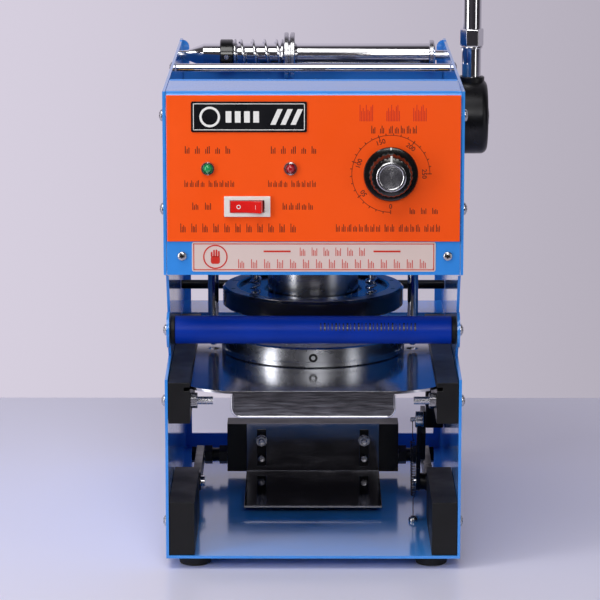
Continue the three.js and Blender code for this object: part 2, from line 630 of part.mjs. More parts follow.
// The ram seen from the side, with its rack teeth at the back. Drawn in (y, z).
function ramShape() {
  const root = TOOTH_TIP_Y - GEAR_MODULE - ROOT_DROP;
  const toothCount = Math.ceil(STROKE / TOOTH_PITCH) + 3;
  const first = DRIVE_Z - 1.5 * TOOTH_PITCH;
  const points = [[RAM_FRONT, HEAD_PLATE_TOP + TOUCH], [TOOTH_TIP_Y, HEAD_PLATE_TOP + TOUCH]];
  points.push([TOOTH_TIP_Y, first - TOOTH_PITCH + TIP_HALF], [root, first - TOOTH_PITCH + ROOT_HALF]);
  for (let tooth = 0; tooth < toothCount; tooth += 1) {
    const middle = first + tooth * TOOTH_PITCH;
    points.push([root, middle - ROOT_HALF], [TOOTH_TIP_Y, middle - TIP_HALF]);
    points.push([TOOTH_TIP_Y, middle + TIP_HALF], [root, middle + ROOT_HALF]);
  }
  const top = first + (toothCount - 0.5) * TOOTH_PITCH;
  points.push([root, top], [RAM_FRONT, top]);
  return polygon(points);
}

function makeDrive() {
  const ramEnd = RAM_HALF_WIDTH;
  piece(machine, "ram", prismX(ramShape(), -ramEnd, ramEnd), "blackMetal");
  const beamTop = DRIVE_Z - PITCH_RADIUS - GEAR_MODULE - 14;
  const beam = box(-FIT, FIT, RAM_FRONT - 10, TOOTH_TIP_Y + 9, beamTop - 18, beamTop);
  const passage = box(-ramEnd - TOUCH, ramEnd + TOUCH, RAM_FRONT - TOUCH, TOOTH_TIP_Y + TOUCH,
    beamTop - 30, beamTop + 10);
  piece(machine, "guide_beam", cut(solid(beam), passage), "aluminium");

  const drive = assembly(machine, 0, DRIVE_Y, DRIVE_Z);
  const hubStart = HALF_WIDTH + 1.5;
  const hubEnd = hubStart + HUB_WIDTH;
  const shaftEnd = hubEnd - 7;
  piece(drive, "drive_shaft", rodX(SHAFT_RADIUS, -INNER + 2, shaftEnd, 0, 0), "stainless");
  piece(drive, "pinion", prismX(pinionShape(), -PINION_WIDTH / 2, PINION_WIDTH / 2), "stainless");

  const bore = SHAFT_RADIUS + RUNNING;
  const leftBush = turnedX(tubeOutline(bore, BUSH_RADIUS, -FIT, -FIT + 12), MEDIUM);
  piece(drive, "shaft_bush_left", leftBush, "brass");
  const rightBush = turnedX([
    [bore, FIT - 8], [BUSH_RADIUS + 3, FIT - 8], [BUSH_RADIUS + 3, FIT], [BUSH_RADIUS, FIT],
    [BUSH_RADIUS, HALF_WIDTH + 1], [bore, HALF_WIDTH + 1], [bore, FIT - 8],
  ], MEDIUM);
  piece(drive, "shaft_bush_right", rightBush, "brass");

  const springOuter = SHAFT_RADIUS + 5.5;
  const returnSpring = coil(springOuter, 34, 2.4, 6, 9).rotateY(Math.PI / 2).translate(30, 0, 0);
  piece(drive, "return_spring", returnSpring, "chrome");

  const hub = turnedX([
    [0, shaftEnd + 0.5], [SHAFT_RADIUS + TOUCH, shaftEnd + 0.5], [SHAFT_RADIUS + TOUCH, hubStart],
    [HUB_RADIUS - 1, hubStart], [HUB_RADIUS, hubStart + 1], [HUB_RADIUS, hubEnd - 4],
    [HUB_RADIUS - 1.2, hubEnd - 1.4], [HUB_RADIUS - 4, hubEnd], [0, hubEnd],
  ]);
  const rodX0 = (hubStart + hubEnd) / 2 - 0.6;
  const rodStart = SHAFT_RADIUS + 4;
  const rodHole = rodZ(HANDLE_RADIUS + TOUCH, rodStart - 0.5, HUB_RADIUS + 5, rodX0, 0);
  piece(drive, "handle_hub", cut(solid(hub), rodHole), "blackMetal");

  const rod = rodZ(HANDLE_RADIUS, rodStart, HANDLE_LENGTH + 20, rodX0, 0);
  piece(drive, "handle_rod", rod, "chrome");
  const couplingStart = HUB_RADIUS + 25;
  const coupling = turnedZ([
    [HANDLE_RADIUS + TOUCH, 0], [HANDLE_RADIUS + 1, 0], [HANDLE_RADIUS + 1.6, 1], [HANDLE_RADIUS + 1.6, 12],
    [HANDLE_RADIUS + 1, 13], [HANDLE_RADIUS + TOUCH, 13], [HANDLE_RADIUS + TOUCH, 0],
  ], MEDIUM);
  piece(drive, "handle_coupling", coupling, "chrome", [rodX0, 0, couplingStart]);

  const knobBore = HANDLE_RADIUS + TOUCH;
  const swell = [0.12, 0.3, 0.5, 0.7, 0.86, 0.95].map((t) => {
    return [HANDLE_KNOB_RADIUS * (0.62 + 0.38 * Math.sin(Math.PI * t)), HANDLE_KNOB_LENGTH * t];
  });
  const knob = turnedZ([
    [0, 20.5], [knobBore, 20.5], [knobBore, 0], [HANDLE_KNOB_RADIUS * 0.62, 0], ...swell,
    [HANDLE_KNOB_RADIUS * 0.45, HANDLE_KNOB_LENGTH], [0, HANDLE_KNOB_LENGTH],
  ], MEDIUM);
  piece(drive, "handle_knob", knob, "blackPlastic", [rodX0, 0, HANDLE_LENGTH]);
}

// ---------------------------------------------------------------- film path
function makeFilmPath() {
  const roller = assembly(machine, 0, ROLLER_Y, ROLLER_Z);
  const sleeve = turnedX(tubeOutline(ROLLER_AXLE + RUNNING, ROLLER_RADIUS, TOUCH - FIT, FIT - TOUCH), MEDIUM);
  piece(roller, "takeup_roller", sleeve, "rollerBlue");
  piece(roller, "roller_axle", rodX(ROLLER_AXLE, -FIT, FIT, 0, 0, SMALL), "chrome");

  const roll = assembly(machine, 0, ROLL_Y, ROLL_Z);
  const journalEnd = HALF_WIDTH + 1;
  const stop = INNER - SIDE_FLANGE;
  const shaft = turnedX([
    [0, -journalEnd], [ROLL_JOURNAL, -journalEnd], [ROLL_JOURNAL, -stop - 1], [ROLL_RADIUS, -stop + 11.5],
    [ROLL_RADIUS, stop - 2], [ROLL_JOURNAL, stop - 2], [ROLL_JOURNAL, journalEnd], [0, journalEnd],
  ], MEDIUM);
  piece(roll, "roll_shaft", shaft, "chrome");
  const onShaft = ROLL_RADIUS + RUNNING;
  const collarStart = -stop + 25;
  const collar = (low, high, radius) => turnedX(tubeOutline(onShaft, radius, low, high), MEDIUM);
  piece(roll, "roll_collar_left", collar(collarStart, collarStart + 10.1, 12.5), "blackPlastic");
  piece(roll, "roll_collar_right", collar(stop - 6.8, stop - 2.8, 12), "aluminium");
  const springStart = collarStart + 10.1 + TOUCH;
  const springLength = 39.5;
  const spring = coil(onShaft + 3, springLength, 2.3, 4, 12);
  piece(roll, "roll_spring", spring.rotateY(Math.PI / 2), "chrome", [springStart, 0, 0]);
  const flangeStart = springStart + springLength + TOUCH;
  const flange = turnedX([
    [onShaft, 0], [ROLL_FLANGE_RADIUS - 4, 0], [ROLL_FLANGE_RADIUS - 4, 2.5], [ROLL_FLANGE_RADIUS - 5, 3.2],
    [ROLL_FLANGE_RADIUS, 4.2], [ROLL_FLANGE_RADIUS, 8.5], [onShaft, 8.5], [onShaft, 0],
  ]);
  piece(roll, "roll_flange", flange, "aluminium", [flangeStart, 0, 0]);

  const guideRod = rodX(GUIDE_ROD_RADIUS, -FIT, FIT, DEPTH - 137, TOP - 6, SMALL);
  piece(machine, "film_guide_rod", guideRod, "chrome");
  const guideBar = rodX(GUIDE_BAR_RADIUS, -FIT, FIT, DEPTH - 75, DRAWER_TOP + 27, SMALL);
  piece(machine, "film_guide_bar", guideBar, "blackMetal");
}

// ---------------------------------------------------------------- cup lifter
const ARM_INNER = FIT - 17.7;
const ARM_OUTER = ARM_INNER + 6;
const LEVER_INNER = ARM_INNER - 7;

// A flat link with round ends, from the pivot back to the lifter shaft. Drawn in (y, z).
function armShape() {
  const shape = new THREE.Shape();
  shape.absarc(0, 0, LIFTER_EYE, Math.PI / 2, 1.5 * Math.PI, false);
  shape.absarc(LIFTER_ARM, 0, LIFTER_EYE, -Math.PI / 2, Math.PI / 2, false);
  return shape;
}

// The lever that rises forward from the right arm's pivot, with an eye at its end.
function leverShape() {
  const [y, z] = [-25, 54.4];
  const angle = Math.atan2(z, y);
  const shape = new THREE.Shape();
  shape.absarc(0, 0, LIFTER_EYE, angle + Math.PI / 2, angle + 1.5 * Math.PI, false);
  shape.absarc(y, z, LIFTER_EYE - 1, angle - Math.PI / 2, angle + Math.PI / 2, false);
  const eye = new THREE.Path();
  eye.absarc(y, z, 3, 0, 2 * Math.PI, true);
  shape.holes.push(eye);
  return shape;
}

function makeLifter() {
  const lifter = assembly(machine, 0, LIFTER_PIVOT_Y, LIFTER_Z);
  const bore = LIFTER_SHAFT + RUNNING;
  const leftHoles = [
    rodX(bore, -ARM_OUTER - 1, 1 - ARM_INNER, 0, 0, SMALL),
    rodX(bore, -ARM_OUTER - 1, 1 - ARM_INNER, LIFTER_ARM, 0, SMALL),
  ];
  const leftArm = solid(prismX(armShape(), -ARM_OUTER, -ARM_INNER));
  piece(lifter, "lifter_arm_left", cut(leftArm, ...leftHoles), "blackMetal");
  const rightArm = join(
    prismX(armShape(), ARM_INNER, ARM_OUTER),
    rodX(LIFTER_EYE - 0.5, LEVER_INNER + 1, ARM_OUTER - 1, 0, 0, SMALL),
    prismX(leverShape(), LEVER_INNER, LEVER_INNER + 3),
  );
  const rightHoles = [
    rodX(bore, LEVER_INNER - 1, ARM_OUTER + 1, 0, 0, SMALL),
    rodX(bore, ARM_INNER - 1, ARM_OUTER + 1, LIFTER_ARM, 0, SMALL),
  ];
  piece(lifter, "lifter_arm_right", cut(rightArm, ...rightHoles), "blackMetal");
  piece(lifter, "lifter_pivot_left", rodX(LIFTER_SHAFT, -FIT, 3 - ARM_INNER, 0, 0, SMALL), "stainless");
  piece(lifter, "lifter_pivot_right", rodX(LIFTER_SHAFT, LEVER_INNER - 2, FIT, 0, 0, SMALL), "stainless");
  const shaftEnd = ARM_OUTER + 4;
  piece(lifter, "lifter_shaft", rodX(LIFTER_SHAFT, -shaftEnd, shaftEnd, LIFTER_ARM, 0, SMALL), "stainless");

  const blockBack = LIFTER_ARM + BLOCK_DEPTH / 2;
  const blockFront = LIFTER_ARM - BLOCK_DEPTH / 2;
  const blockLow = -LIFTER_Z + 5.7;
  const halfBlock = BLOCK_WIDTH / 2;
  const block = box(-halfBlock, halfBlock, blockFront, blockBack, blockLow, blockLow + BLOCK_HEIGHT);
  const shaftHole = rodX(bore, -halfBlock - 1, halfBlock + 1, LIFTER_ARM, 0, SMALL);
  piece(lifter, "lifter_block", cut(solid(block), shaftHole), "blackPlastic");

  const plateBack = blockFront - TOUCH;
  const plateLow = blockLow - 0.6;
  const halfPlate = PLATFORM_WIDTH / 2;
  const bracket = join(
    box(-halfPlate, halfPlate, plateBack - THIN_SHEET, plateBack, plateLow, plateLow + BLOCK_HEIGHT + 1.5),
    box(-halfPlate, halfPlate, plateBack - PLATFORM_DEPTH, plateBack - 0.5, plateLow, plateLow + THIN_SHEET),
  );
  const slots = [-1, 1].map((side) => {
    const x = side * 40;
    return box(x - 3.25, x + 3.25, plateBack - 9, plateBack + 9, plateLow + 5.5, plateLow + 34.5);
  });
  piece(lifter, "lifter_plate", cut(bracket, ...slots), "stainless");
}

// ---------------------------------------------------------------- the whole machine
const machine = new THREE.Group();
makeCasing();
makeFront();
makeDrawer();
makeHead();
makeDrive();
makeFilmPath();
makeLifter();

machine.updateMatrixWorld(true);
const bounds = new THREE.Box3().setFromObject(machine, true);
const middle = bounds.getCenter(new THREE.Vector3());
machine.position.set(-middle.x, -middle.y, -bounds.min.z);

const part = new THREE.Group();
part.add(machine);

export default part;
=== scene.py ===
"""Looks of a hand-operated cup sealing machine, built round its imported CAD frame."""

import json
import math

import bmesh
import bpy
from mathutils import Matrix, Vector


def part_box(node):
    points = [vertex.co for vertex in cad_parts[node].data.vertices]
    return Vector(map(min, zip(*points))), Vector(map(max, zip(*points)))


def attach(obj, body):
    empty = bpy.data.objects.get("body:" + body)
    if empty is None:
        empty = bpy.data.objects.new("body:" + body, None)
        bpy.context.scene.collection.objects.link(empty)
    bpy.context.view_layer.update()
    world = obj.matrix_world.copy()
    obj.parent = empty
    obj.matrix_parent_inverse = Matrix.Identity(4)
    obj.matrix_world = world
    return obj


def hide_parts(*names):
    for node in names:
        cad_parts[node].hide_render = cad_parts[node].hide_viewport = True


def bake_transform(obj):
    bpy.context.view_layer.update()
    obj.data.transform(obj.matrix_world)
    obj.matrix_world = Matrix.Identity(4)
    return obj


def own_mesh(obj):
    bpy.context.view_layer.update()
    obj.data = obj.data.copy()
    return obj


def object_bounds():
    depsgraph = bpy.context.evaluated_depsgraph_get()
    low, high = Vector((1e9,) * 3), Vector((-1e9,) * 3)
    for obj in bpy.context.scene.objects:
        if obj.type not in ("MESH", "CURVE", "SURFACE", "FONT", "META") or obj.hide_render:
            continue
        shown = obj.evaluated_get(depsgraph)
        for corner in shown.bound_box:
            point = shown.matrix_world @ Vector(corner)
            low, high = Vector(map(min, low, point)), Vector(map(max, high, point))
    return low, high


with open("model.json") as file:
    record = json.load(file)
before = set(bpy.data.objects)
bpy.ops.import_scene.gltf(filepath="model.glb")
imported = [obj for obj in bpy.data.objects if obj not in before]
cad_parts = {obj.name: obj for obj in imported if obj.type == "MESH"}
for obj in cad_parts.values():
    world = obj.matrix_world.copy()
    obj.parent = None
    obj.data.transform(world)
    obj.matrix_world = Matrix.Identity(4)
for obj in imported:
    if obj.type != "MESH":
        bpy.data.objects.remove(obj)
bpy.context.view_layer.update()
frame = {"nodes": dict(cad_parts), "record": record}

MM = 0.001
CHASSIS_LOW, CHASSIS_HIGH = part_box("chassis")
CHASSIS_SHEET = 2
# Zero is the middle of the machine, the front edge of its side plates and the top of its base.
ORIGIN = Vector((
    (CHASSIS_LOW.x + CHASSIS_HIGH.x) / 2,
    CHASSIS_LOW.y,
    CHASSIS_LOW.z + CHASSIS_SHEET * MM,
))


def at(x, y, z):
    """A point of the row frame from millimetres of the machine."""
    return ORIGIN + Vector((x, y, z)) * MM


def span(node):
    """A CAD node's box in millimetres of the machine: x0, x1, y0, y1, z0, z1."""
    low, high = ((corner - ORIGIN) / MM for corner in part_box(node))
    return low.x, high.x, low.y, high.y, low.z, high.z


def middle(node):
    x0, x1, y0, y1, z0, z1 = span(node)
    return (x0 + x1) / 2, (y0 + y1) / 2, (z0 + z1) / 2


# ------------------------------------------------------------------ camera
CAMERA_PLACE = (-3.7, -2125, 621.6)
CAMERA_AIM = (-9.42, 0, 186.6)
SENSOR = 36
FOCAL = 185.3


def make_camera():
    data = bpy.data.cameras.new("camera")
    data.sensor_width = SENSOR
    data.lens = FOCAL
    data.clip_end = 50
    camera = bpy.data.objects.new("camera", data)
    camera.location = at(*CAMERA_PLACE)
    direction = at(*CAMERA_AIM) - camera.location
    camera.rotation_euler = direction.to_track_quat("-Z", "Y").to_euler()
    bpy.context.scene.collection.objects.link(camera)
    bpy.context.scene.camera = camera


make_camera()


# ------------------------------------------------------------------ materials
def linear(red, green, blue):
    """Linear colour from 0-255 screen values."""
    def one(value):
        value /= 255
        return value / 12.92 if value <= 0.04045 else ((value + 0.055) / 1.055) ** 2.4
    return one(red), one(green), one(blue), 1.0


NOISE_LOW, NOISE_HIGH = 0.3, 0.7  # most of a noise texture lies between these


class Look:
    """A principled material whose colour, roughness and surface vary by procedural noise."""

    def __init__(self, name, colour, rough, metal=0.0, **sockets):
        self.material = bpy.data.materials.new(name)
        self.material.use_nodes = True
        self.tree = self.material.node_tree
        self.shader = self.tree.nodes["Principled BSDF"]
        self.colour, self.rough = colour, rough
        self.shader.inputs["Base Color"].default_value = colour
        self.shader.inputs["Roughness"].default_value = rough
        self.shader.inputs["Metallic"].default_value = metal
        for socket, value in sockets.items():
            self.shader.inputs[socket.replace("_", " ")].default_value = value
        self.normal = None

    def node(self, kind, **values):
        made = self.tree.nodes.new(kind)
        for key, value in values.items():
            if key in made.inputs:
                made.inputs[key].default_value = value
            else:
                setattr(made, key, value)
        return made

    def link(self, source, target):
        self.tree.links.new(source, target)

    def place(self, stretch=(1, 1, 1), centre=(0, 0, 0)):
        coordinates = self.node("ShaderNodeTexCoord")
        mapping = self.node("ShaderNodeMapping")
        mapping.inputs["Scale"].default_value = stretch
        mapping.inputs["Location"].default_value = [-c * s for c, s in zip(centre, stretch)]
        self.link(coordinates.outputs["Object"], mapping.inputs["Vector"])
        return mapping.outputs["Vector"]

    def noise(self, scale, stretch=(1, 1, 1), detail=3.0):
        texture = self.node("ShaderNodeTexNoise", Scale=scale, Detail=detail)
        self.link(self.place(stretch), texture.inputs["Vector"])
        return texture.outputs["Fac"]

    def vary_rough(self, scale, amount, stretch=(1, 1, 1)):
        ranged = self.node("ShaderNodeMapRange")
        ranged.inputs["From Min"].default_value = NOISE_LOW
        ranged.inputs["From Max"].default_value = NOISE_HIGH
        ranged.inputs["To Min"].default_value = max(0.02, self.rough - amount)
        ranged.inputs["To Max"].default_value = self.rough + amount
        self.link(self.noise(scale, stretch), ranged.inputs["Value"])
        self.link(ranged.outputs["Result"], self.shader.inputs["Roughness"])
        return self

    def vary_colour(self, scale, amount, stretch=(1, 1, 1)):
        ramp = self.node("ShaderNodeValToRGB")
        first, last = ramp.color_ramp.elements
        first.position, last.position = NOISE_LOW, NOISE_HIGH
        first.color = [c * (1 - amount) for c in self.colour[:3]] + [1]
        last.color = [min(1, c * (1 + amount)) for c in self.colour[:3]] + [1]
        self.link(self.noise(scale, stretch), ramp.inputs["Fac"])
        self.link(ramp.outputs["Color"], self.shader.inputs["Base Color"])
        return self

    def bump(self, height, strength, distance=0.0002):
        bump = self.node("ShaderNodeBump", Strength=strength, Distance=distance)
        self.link(height, bump.inputs["Height"])
        if self.normal is not None:
            self.link(self.normal, bump.inputs["Normal"])
        self.normal = bump.outputs["Normal"]
        self.link(self.normal, self.shader.inputs["Normal"])
        return self

    def grain(self, scale, strength, stretch=(1, 1, 1), distance=0.0002):
        return self.bump(self.noise(scale, stretch), strength, distance)

    def rings(self, axis, centre, pitch, strength):
        """Fine turning marks round an axis of the row frame."""
        wave = self.node("ShaderNodeTexWave", wave_type="RINGS", rings_direction=axis)
        wave.inputs["Scale"].default_value = 2 * math.pi / (20 * pitch)
        wave.inputs["Distortion"].default_value = 0.0
        self.link(self.place(centre=centre), wave.inputs["Vector"])
        return self.bump(wave.outputs["Fac"], strength, 0.00008)


FINE = 2500  # noise scale of grain finer than half a millimetre
PEEL = 420  # orange peel of sprayed paint
SMUDGE = 35  # slow handling marks

blue_paint = Look("blue_enamel", linear(58, 144, 234), 0.15, Coat_Weight=0.5, Coat_Roughness=0.08)
blue_paint.vary_rough(SMUDGE, 0.04).vary_colour(SMUDGE, 0.05).grain(PEEL, 0.06)
panel_orange = Look("orange_printed_sheet", linear(255, 86, 4), 0.5, Specular_IOR_Level=0.3)
panel_orange.vary_rough(SMUDGE, 0.05).vary_colour(18, 0.03).grain(FINE, 0.1)
ink_black = Look("black_ink", linear(38, 14, 8), 0.5).vary_rough(FINE, 0.08).grain(FINE, 0.1)
ink_red = Look("red_ink", linear(205, 38, 22), 0.5).vary_rough(FINE, 0.08).grain(FINE, 0.1)
ink_white = Look("white_ink", linear(238, 238, 236), 0.5).vary_rough(FINE, 0.08).grain(FINE, 0.1)
strip_silver = Look("notice_strip_foil", linear(226, 206, 200), 0.45, 0.1)
strip_silver.vary_rough(300, 0.05, (1, 20, 20)).grain(FINE, 0.15)
badge_black = Look("badge_enamel", linear(16, 17, 22), 0.25).vary_rough(SMUDGE, 0.08).grain(FINE, 0.06)
black_plastic = Look("black_engineering_plastic", linear(9, 9, 11), 0.45, Specular_IOR_Level=0.35)
black_plastic.vary_rough(SMUDGE, 0.1).vary_colour(90, 0.25).grain(FINE, 0.3)
black_gloss = Look("black_gloss_plastic", linear(12, 12, 13), 0.2, Coat_Weight=0.3)
black_gloss.vary_rough(SMUDGE, 0.07).grain(900, 0.05)
black_metal = Look("black_oxide_steel", linear(30, 30, 33), 0.34, 0.6)
black_metal.vary_rough(SMUDGE * 2, 0.1).vary_colour(120, 0.2).grain(FINE, 0.2)
ring_black = Look("polished_oxide_steel", linear(34, 34, 38), 0.2, 0.55, Coat_Weight=0.9, Coat_Roughness=0.12)
ring_black.vary_rough(SMUDGE, 0.06).grain(FINE, 0.05)
ground_steel = Look("ground_steel_face", linear(150, 145, 152), 0.3, 0.9)
ground_steel.vary_rough(SMUDGE, 0.06).vary_colour(60, 0.08).grain(FINE, 0.05)
chrome = Look("chrome_plate", linear(222, 222, 226), 0.09, 1.0).vary_rough(SMUDGE, 0.04).grain(PEEL, 0.02)
stainless = Look("polished_stainless_sheet", linear(196, 197, 202), 0.13, 1.0)
stainless.vary_rough(60, 0.05, (1, 12, 12)).grain(9, 0.012, (30, 300, 300))
# The lifter plate's polished stainless, with its colour darkened below any real metal's: painted shade that
# stands in for the dark interior and studio it reflects.
painted_shade_mirror = Look("stainless_darkened_as_painted_shade", linear(118, 118, 124), 0.1, 1.0)
painted_shade_mirror.vary_rough(60, 0.04).grain(9, 0.02, (30, 300, 300))
steel_bolt = Look("zinc_plated_steel", linear(186, 186, 190), 0.26, 1.0)
steel_bolt.vary_rough(400, 0.06).vary_colour(500, 0.06).grain(FINE, 0.03)
brass = Look("bush_brass", linear(196, 160, 86), 0.32, 1.0).vary_rough(300, 0.06).grain(FINE, 0.2)
rubber = Look("foot_rubber", linear(22, 22, 23), 0.8)
rubber.vary_rough(200, 0.08).vary_colour(100, 0.2).grain(900, 0.4)
roller_blue = Look("roller_sleeve_blue", linear(0, 52, 168), 0.42, Specular_IOR_Level=0.2)
roller_blue.vary_rough(60, 0.07, (1, 8, 8)).vary_colour(40, 0.08).grain(700, 0.12)
rocker_red = Look("rocker_translucent_red", linear(222, 30, 26), 0.18, Coat_Weight=0.4)
rocker_red.vary_rough(300, 0.04).grain(900, 0.04)
switch_white = Look("switch_white_plastic", linear(232, 230, 226), 0.35)
switch_white.vary_rough(300, 0.06).grain(FINE, 0.12)
lens_green = Look("lens_green", linear(24, 150, 84), 0.08, Coat_Weight=0.6)
lens_green.vary_rough(500, 0.03).grain(700, 0.08)
lens_red = Look("lens_red", linear(170, 16, 28), 0.08, Coat_Weight=0.6)
lens_red.vary_rough(500, 0.03).grain(700, 0.08)

turned_nickel = Look("turned_bright_aluminium", linear(205, 205, 209), 0.2, 1.0)
turned_nickel.vary_rough(SMUDGE, 0.05).grain(9, 0.2, (3000, 40, 40))
CUP_CENTRE = at(*middle("cup_ring"))
KNOB_CENTRE = at(*middle("thermostat_knob"))
turned_aluminium = Look("turned_aluminium", linear(190, 192, 198), 0.27, 1.0)
turned_aluminium.vary_rough(SMUDGE, 0.07).rings("Z", CUP_CENTRE, 0.0007, 0.06).grain(FINE, 0.04)
spun_cap = Look("spun_aluminium_cap", linear(208, 208, 212), 0.22, 1.0)
spun_cap.vary_rough(200, 0.05).rings("Y", KNOB_CENTRE, 0.0005, 0.4)
cast_aluminium = Look("milled_aluminium", linear(176, 178, 184), 0.34, 1.0)
cast_aluminium.vary_rough(80, 0.08).grain(9, 0.2, (30, 700, 700))

SLOT_LOOKS = {
    "blue_paint": blue_paint, "orange_panel": panel_orange, "black_plastic": black_plastic,
    "knob_black": black_gloss, "black_metal": black_metal, "chrome": chrome, "stainless": stainless,
    "aluminium": cast_aluminium, "bush_brass": brass, "rubber": rubber, "roller_blue": roller_blue,
    "lens_green": lens_green, "lens_red": lens_red, "rocker_red": rocker_red, "switch_white": switch_white,
}


# ------------------------------------------------------------------ solids, as (corners, faces)
def arc(centre, radius, angles):
    """Points of an arc, at angles in degrees."""
    turns = [math.radians(angle) for angle in angles]
    return [(centre[0] + radius * math.cos(t), centre[1] + radius * math.sin(t)) for t in turns]


def band(inner, outer, low, high):
    """The closed outline of a flat ring, for turned."""
    return [(inner, low), (outer, low), (outer, high), (inner, high), (inner, low)]


def turned(profile, axis, centre, sides=96):
    """A round solid from (radius, height) pairs. F is forward, out of the panel."""
    closed = profile[0] == profile[-1]
    rows = profile[:-1] if closed else profile
    ways = {
        "X": lambda u, v, h: (h, u, v), "Y": lambda u, v, h: (u, h, v),
        "Z": lambda u, v, h: (u, v, h), "F": lambda u, v, h: (u, -h, v),
    }
    corners, rings = [], []
    for radius, height in rows:
        count = 1 if radius == 0 else sides
        rings.append(range(len(corners), len(corners) + count))
        for i in range(count):
            angle = 2 * math.pi * i / sides
            x, y, z = ways[axis](radius * math.cos(angle), radius * math.sin(angle), height)
            corners.append(at(centre[0] + x, centre[1] + y, centre[2] + z))
    pairs = list(zip(rings, rings[1:])) + ([(rings[-1], rings[0])] if closed else [])
    faces = []
    for low, high in pairs:
        for i in range(sides):
            j = (i + 1) % sides
            loop = [low[i % len(low)], low[j % len(low)], high[j % len(high)], high[i % len(high)]]
            unique = list(dict.fromkeys(loop))
            if len(unique) > 2:
                faces.append(unique)
    return corners, faces


def rod(radius, axis, centre, low, high, edge=0.3, sides=64):
    outline = [(0, low), (radius - edge, low), (radius, low + edge), (radius, high - edge),
               (radius - edge, high), (0, high)]
    return turned(outline, axis, centre, sides)


def tube(inner, outer, axis, centre, low, high, edge=0.3, sides=96):
    outline = [(inner, low), (outer - edge, low), (outer, low + edge), (outer, high - edge),
               (outer - edge, high), (inner, high), (inner, low)]
    return turned(outline, axis, centre, sides)


def prism(outline, axis, low, high):
    """An outline pushed along an axis: (y, z) along X, (x, z) along Y or (x, y) along Z."""
    ways = {
        "X": lambda a, b, h: at(h, a, b),
        "Y": lambda a, b, h: at(a, h, b),
        "Z": lambda a, b, h: at(a, b, h),
    }
    count = len(outline)
    corners = [ways[axis](a, b, h) for h in (low, high) for a, b in outline]
    sides = [(i, (i + 1) % count, count + (i + 1) % count, count + i) for i in range(count)]
    return corners, [tuple(range(count)), tuple(range(count, 2 * count)), *sides]


def slab(x0, x1, y0, y1, z0, z1):
    return prism([(x0, y0), (x1, y0), (x1, y1), (x0, y1)], "Z", z0, z1)


def round_rectangle(x0, x1, z0, z1, radius, steps=6):
    points = []
    for cx, cz, start in ((x1 - radius, z1 - radius, 0), (x0 + radius, z1 - radius, 90),
                          (x0 + radius, z0 + radius, 180), (x1 - radius, z0 + radius, 270)):
        points += arc((cx, cz), radius, [start + 90 * i / steps for i in range(steps + 1)])
    return points


def hexagon(across, centre):
    return arc(centre, across / math.sqrt(3), range(30, 390, 60))


def swept(points, radius, sides=10):
    """A round wire along a list of millimetre points."""
    corners, faces = [], []
    path = [Vector(p) for p in points]
    for i, point in enumerate(path):
        along = (path[min(i + 1, len(path) - 1)] - path[max(i - 1, 0)]).normalized()
        if i == 0:
            side = along.orthogonal().normalized()
        side = (side - along * side.dot(along)).normalized()
        other = along.cross(side)
        for k in range(sides):
            angle = 2 * math.pi * k / sides
            spot = point + (side * math.cos(angle) + other * math.sin(angle)) * radius
            corners.append(at(*spot))
    for i in range(len(path) - 1):
        for k in range(sides):
            n = (k + 1) % sides
            faces.append((i * sides + k, i * sides + n, (i + 1) * sides + n, (i + 1) * sides + k))
    last = (len(path) - 1) * sides
    faces += [tuple(range(sides)), tuple(range(last, last + sides))]
    return corners, faces


def helix(axis, centre, radius, low, high, turns, closed_turns=0.75, steps=22):
    """Points of a compression spring whose end turns lie flat."""
    points = []
    for i in range(int(turns * steps) + 1):
        turn = i / steps
        share = min(max((turn - closed_turns) / (turns - 2 * closed_turns), 0), 1)
        height = low + (high - low) * share
        u, v = radius * math.cos(2 * math.pi * turn), radius * math.sin(2 * math.pi * turn)
        x, y, z = {"X": (height, u, v), "Z": (u, v, height)}[axis]
        points.append((centre[0] + x, centre[1] + y, centre[2] + z))
    return points


# ------------------------------------------------------------------ pieces
SMOOTH_UNDER = math.radians(32)
BEVEL_OVER = math.radians(34)
CAD_EDGE = 0.35  # rounding of the edges of CAD nodes that stay visible
SAME_POINT = 0.002  # corners nearer than this are one


def mark_edges(mesh):
    """Shades a mesh smooth apart from its sharp edges."""
    work = bmesh.new()
    work.from_mesh(mesh)
    bmesh.ops.recalc_face_normals(work, faces=work.faces)
    for face in work.faces:
        face.smooth = True
    for edge in work.edges:
        edge.smooth = len(edge.link_faces) == 2 and edge.calc_face_angle(0) < SMOOTH_UNDER
    work.to_mesh(mesh)
    work.free()


def soften(obj, width, segments=2):
    bevel = obj.modifiers.new("edge", "BEVEL")
    bevel.width = width * MM
    bevel.segments = segments
    bevel.limit_method = "ANGLE"
    bevel.angle_limit = BEVEL_OVER
    bevel.use_clamp_overlap = True
    weighted = obj.modifiers.new("normals", "WEIGHTED_NORMAL")
    weighted.keep_sharp = False
    weighted.weight = 80


def piece(name, parts, body, stands_for=(), edge=0.0):
    """One object from several solids, each with its look, riding on a body unless that is None."""
    mesh = bpy.data.meshes.new(name)
    corners, faces, looks, owner = [], [], [], []
    for (part_corners, part_faces), look in parts:
        if look not in looks:
            looks.append(look)
        faces += [[len(corners) + i for i in face] for face in part_faces]
        owner += [looks.index(look)] * len(part_faces)
        corners += part_corners
    mesh.from_pydata(corners, [], faces)
    mesh.polygons.foreach_set("material_index", owner)
    for look in looks:
        mesh.materials.append(look.material)
    mark_edges(mesh)
    obj = bpy.data.objects.new(name, mesh)
    bpy.context.scene.collection.objects.link(obj)
    if edge:
        soften(obj, edge)
    if body:
        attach(obj, body)
    if stands_for:
        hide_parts(*stands_for)
    return obj


NODE_LOOKS = {"lifter_plate": painted_shade_mirror}  # nodes whose look differs from their slot's: the lifter plate gets a stainless darkened as painted shade for the dark reflections it shows
